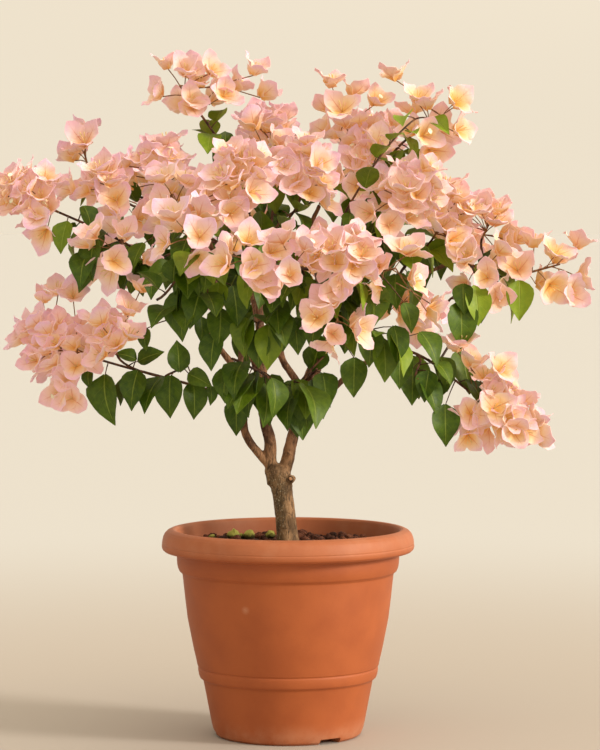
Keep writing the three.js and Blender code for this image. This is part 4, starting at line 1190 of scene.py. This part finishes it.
def stemBrown(name, dark, light, scale):
    coat = Finish(name, Specular_IOR_Level=0.35)
    spot = coat.place()
    grain = coat.noise(coat.scaled(spot, (1, 1, 0.35)), scale, 4)
    colour = coat.blend(dark, light, grain.between(0.35, 0.7))
    return coat.shade(colour, grain * 0.3 + 0.45, grain, depth=0.0006, strength=0.7)


bark = {
    "low": [(104, 78, 52), (170, 132, 94)], "high": [(92, 60, 42), (158, 114, 82)], "algaeAndShade": (96, 90, 62),
    "lichen": (196, 184, 154), "crack": (38, 26, 18), "cutWood": (184, 136, 96),
    "cracks": 520, "specks": 620, "patches": 75, "ringGap": 7, "waver": 5,
    # the lower left of the trunk, away from the sun, is painted greener and darker: partly algae, partly
    # painted shade
    "reddens": (0.3, 0.36), "algaeAndShadeSide": (0.004, -0.014), "algaeAndShadeHeight": (0.33, 0.29),
    "cut": (3.4, -15.4, 307), "cutEdge": (0.0052, 0.0038), "cutFace": (0.0034, 0.0024),
}


def barkBrown():
    coat = Finish("bark", Specular_IOR_Level=0.25)
    spot = coat.place()
    x, y, z = coat.axes(spot)
    grain = coat.noise(coat.scaled(spot, (1, 1, 0.2)), bark["cracks"], 5, 0.65)
    speck = coat.noise(coat.scaled(spot, (1, 1, 0.7)), bark["specks"], 2)
    patches = coat.noise(coat.scaled(spot, (1, 1, 0.6)), bark["patches"], 4)
    rings = z * 1000 / bark["ringGap"] + coat.noise(spot, 60, 2) * bark["waver"]
    rings = abs(rings.wave()).between(0.12, 0.0)
    low = coat.blend(*bark["low"], patches.between(0.36, 0.62))
    high = coat.blend(*bark["high"], patches.between(0.36, 0.64))
    colour = coat.blend(low, high, z.between(*bark["reddens"]))
    # partly algae and partly painted shade on the lower trunk's left, away from the sun; pale lichen specks
    # sit there too
    shaded = x.between(*bark["algaeAndShadeSide"]) * z.between(*bark["algaeAndShadeHeight"])
    colour = coat.blend(colour, bark["algaeAndShade"], (shaded * 0.45).clamped())
    colour = coat.blend(colour, bark["lichen"], (shaded * speck.between(0.58, 0.66) * 0.75).clamped())
    dark = grain.between(0.53, 0.36) * 0.6 + speck.between(0.42, 0.34) * 0.3 + rings * 0.2
    for left, front, level, radius in wood["knots"]:
        reach = coat.far(spot, (left, front - radius, level))
        dark = dark + reach.between(radius * 1.1 * mm, radius * 0.5 * mm) * 0.35
    cut = coat.far(spot, bark["cut"])  # pale wood with a dark edge
    dark = dark + cut.between(*bark["cutEdge"]) * 0.8
    colour = coat.blend(colour, bark["crack"], dark.clamped())
    colour = coat.blend(colour, bark["cutWood"], cut.between(*bark["cutFace"]) * 0.9)
    height = grain * 0.9 + patches * 0.4 - rings * 0.35
    return coat.shade(colour, grain * 0.2 + 0.62, height, depth=0.0016, strength=0.85)


clay = {
    "base": [(161, 81, 38), (171, 89, 43)], "speck": (124, 62, 35), "dustAndSheen": (208, 160, 128),
    "specks": 900, "mottles": 22, "patches": 34, "scuffs": 70, "dustyFoot": (0.03, 0.004), "footDust": 0.32,
    # the rim band is paler all round: partly dust, partly a painted sheen on the rolled lip
    "dustAndSheenRim": (0.2185, 0.23), "rimDustAndSheen": (0.14, 0.1), "fleck": (-48.7, -112, 162.6),
    "fleckEdge": (0.0105, 0.0035), "fleckDust": 0.36,
}


def potClay():
    coat = Finish("terracottaPlastic", Specular_IOR_Level=0.4)
    spot = coat.place()
    x, y, z = coat.axes(spot)
    speck = coat.noise(spot, clay["specks"], 2)
    mottle = coat.noise(spot, clay["mottles"], 4)
    colour = coat.blend(*clay["base"], mottle.between(0.3, 0.7))
    colour = coat.blend(colour, clay["speck"], speck.between(0.62, 0.75) * 0.35)
    patch = coat.noise(spot, clay["patches"], 5, 0.6)
    dustAndSheen = z.between(*clay["dustyFoot"]) * patch.between(0.3, 0.7) * clay["footDust"]
    # painted sheen and dust: the rolled rim is painted paler all round
    least, more = clay["rimDustAndSheen"]
    dustAndSheen = dustAndSheen + z.between(*clay["dustAndSheenRim"]) * (least + patch.between(0.4, 0.75) * more)
    fleck = coat.far(spot, clay["fleck"]) + mottle * 0.004 + speck * 0.003
    dustAndSheen = dustAndSheen + fleck.between(*clay["fleckEdge"]) * clay["fleckDust"]
    scuff = coat.noise(coat.scaled(spot, (1, 1, 2.4)), clay["scuffs"], 5, 0.75).between(0.68, 0.78) * 0.4
    colour = coat.blend(colour, clay["dustAndSheen"], (dustAndSheen + scuff * 0.5).clamped())
    height = speck * 0.3 + mottle * 0.2 + scuff * 0.15
    return coat.shade(colour, mottle * 0.15 + 0.5 + scuff * 0.2, height, depth=0.0003, strength=0.6)


earth = {
    "soil": [(0.3, 34, 20, 14), (0.46, 76, 42, 29), (0.62, 112, 64, 44), (0.78, 150, 100, 70)],
    # moss colours, and the height from which the pebbles' tops are painted lighter, as if lit
    "moss": [(74, 66, 34), (176, 176, 88)], "litTopFrom": (0.228, 0.236), "grain": 300, "patches": 70,
    "mossGrain": 260,
}


def soilBrown():
    coat = Finish("pottingMix", Specular_IOR_Level=0.2)
    spot = coat.place()
    tone = coat.own("tone")
    grain = coat.noise(spot, earth["grain"], 5, 0.7)
    patches = coat.noise(spot, earth["patches"], 3)
    colour = coat.ramp(grain * 0.5 + patches * 0.25 + tone * 0.28, earth["soil"])
    return coat.shade(colour, 0.85 - patches * 0.15, grain, depth=0.003, strength=1.0)


def mossGreen():
    coat = Finish("mossyPebble", Specular_IOR_Level=0.2)
    spot = coat.place()
    grain = coat.noise(spot, earth["mossGrain"], 4, 0.6)
    x, y, z = coat.axes(spot)
    # painted light: each pebble's top is painted lighter, as if lit from above, with the moss's own grain
    lit = z.between(*earth["litTopFrom"]) * 0.5 + grain * 0.7
    colour = coat.blend(*earth["moss"], lit.between(0.4, 0.85))
    return coat.shade(colour, 0.9, grain, depth=0.002, strength=1.0)


def flowerCream(name, dark, light, through, scale):
    coat = Finish(name, Subsurface_Weight=through, Subsurface_Radius=(0.003, 0.002, 0.001))
    grain = coat.noise(coat.place(), scale, 3)
    return coat.shade(coat.blend(dark, light, grain), 0.6, grain, depth=0.0004, strength=0.4)


finishes["soil"] = soilBrown()
finishes["moss"] = mossGreen()
finishes["leaf"] = leafGreen()
finishes["bract"] = bractPaper()
finishes["twig"] = stemBrown("twig", (58, 34, 22), (118, 78, 50), 200)
finishes["stem"] = stemBrown("stem", (110, 70, 42), (164, 122, 76), 300)
finishes["tube"] = flowerCream("flowerTube", (216, 176, 104), (238, 222, 166), 0.15, 160)
finishes["star"] = flowerCream("openFlower", (246, 236, 196), (252, 248, 226), 0.2, 220)
print("finishes mixed")

planter = makePot()
planter.data.materials.append(potClay())
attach(planter, "root")
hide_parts("pot")
print("planter turned", len(planter.data.polygons))

mixPiece = makeSoil()
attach(mixPiece, "root")
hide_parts("soil")
print("potting mix filled", len(mixPiece.data.polygons))

trunk = makeWood()
trunk.data.materials.append(barkBrown())
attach(trunk, "root")
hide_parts("trunk_and_limbs")
print("trunk grown", len(trunk.data.polygons))

bractShapes = [drawSheet("bract", bract, bract["seed"] + n) for n in range(bract["shapes"])]
leafShapes = [drawSheet("leaf", leafSheet, leafSheet["seed"] + n) for n in range(leafSheet["shapes"])]
bud, star = makeTube(False), makeTube(True)
for pieces, finish in ((bractShapes, "bract"), (leafShapes, "leaf"), ([bud], "tube"), ([star], "star")):
    for piece in pieces:
        piece.data.materials.append(finishes[finish])
print("patterns drawn", len(bractShapes[0].data.polygons), len(leafShapes[0].data.polygons),
      len(bud.data.polygons), len(star.data.polygons))

seed = 0
heads = []
for shoot in shoots:
    for head in shoot["heads"]:
        seed += 1
        heads.append((head, *headBlooms(head, seed)))
spreadOut([one for head, foot, blooms in heads for one in blooms])
heads = fillBetween(heads)
for head, foot, blooms in heads:
    makeHead(head, foot, blooms, (bractShapes, bud, star))
print("heads in bloom", len(heads), "with", sum(len(blooms) for head, foot, blooms in heads), "blooms")
for seed, shoot in enumerate(shoots):
    shootTwigs = shootLines(shoot)
    grown = len(shootTwigs) - len(shoot.get("sprigs", []))
    leaves = shootLeaves(shootTwigs[:grown], seed, shoot["leaves"], "own")
    loose = shoot.get("loose", round(shoot["leaves"] * leaf["more"]))
    leaves += shootLeaves(shootTwigs[:grown], seed, loose, "loose")
    onSprigs = shoot.get("onSprig", leaf["onSprig"]) * (len(shootTwigs) - grown)
    leaves += shootLeaves(shootTwigs[grown:], seed, onSprigs, "sprig")
    leaves += hungLeaves(shoot, shootTwigs, seed)
    if "runner" in shoot:  # a twig that climbs in front of the blooms
        points = [Vector(point) for point in shoot["runner"]]
        length = sum((b - a).length for a, b in zip(points, points[1:]))
        run = {"start": twig["sideStart"], "end": leaf["runnerEnd"], "coarse": points,
               "fine": smoothed(points, twig["runnerFine"]), "length": length}
        leaves += shootLeaves([run], seed, leaf["onRunner"], "runner")
        shootTwigs.append(run)
    makeShoot(shoot, shootTwigs, leaves, leafShapes)
putAway(bud, star, *bractShapes, *leafShapes)
print("shoots in leaf", len(shoots))


# floor, light and camera

view = {
    "spot": (0.0142, -3.5, 0.602), "tip": 87.16, "lens": 141.9, "sensor": 36,
    "floor": (178, 169, 160), "farFloor": (193, 192, 190), "near": 0.5, "far": 2.4,
    "cream": (250, 237, 214), "horizon": 0.2, "sky": 0.95, "overhead": 0.9, "slope": 0.56, "front": 0.14,
    "edge": 0.893, "band": (0.42, 0.12), "above": (0.7, 0.86), "rises": (0.03, 0.2), "floorSize": 600,
    "farthest": 1000,
    "sun": {"toward": (-0.84, 0.32, -0.36), "angle": 14, "power": 2.85, "colour": (0.98, 0.92, 0.83)},
}


def makeFloor():
    clearAll()
    bpy.ops.mesh.primitive_plane_add(size=view["floorSize"], location=(0, 0, 0))
    floor = bpy.context.object
    floor.name = "floor"
    coat = Finish("paleFloor", Specular_IOR_Level=0.2)
    x, y, z = coat.axes(coat.place())
    away = ((x * x + y * y) ** 0.5).between(view["near"], view["far"])  # paler the further off it lies
    floor.data.materials.append(coat.shade(coat.blend(view["floor"], view["farFloor"], away), 0.8))


def makeSun():
    sun = view["sun"]
    lamp = bpy.data.lights.new("key", "SUN")
    lamp.angle, lamp.energy, lamp.color = math.radians(sun["angle"]), sun["power"], sun["colour"]
    stand("key", lamp).rotation_euler = Vector(sun["toward"]).to_track_quat("-Z", "Y").to_euler()


def makeRoom():  # an even pale room, brightest round the horizon and on the side of the sun
    room = Finish("paleRoom", bpy.data.worlds, "Background")
    x, y, z = room.axes(room.node("ShaderNodeTexCoord", output="Generated"))
    glow = abs(z).between(*view["band"]) * view["horizon"]
    glow = glow + z.between(*view["above"]) * view["overhead"] + view["sky"]
    tilt = 1 + x * view["slope"] - y * view["front"]
    above = z.between(*view["rises"])  # lower down it is as bright as the far floor, so that no line shows
    room.put(room.shader.inputs["Color"], rgb(*view["cream"]))
    room.put(room.shader.inputs["Strength"], above * glow * tilt + (1 - above) * view["edge"])
    stage.world = room.material


makeFloor()
makeSun()
makeRoom()
stage.view_settings.view_transform = "Standard"

lens = bpy.data.cameras.new("camera")
lens.lens, lens.sensor_width, lens.clip_end = view["lens"], view["sensor"], view["farthest"]
camera = stand("camera", lens)
camera.location = view["spot"]
camera.rotation_euler = (math.radians(view["tip"]), 0, 0)
stage.camera = camera
print("stage lit")
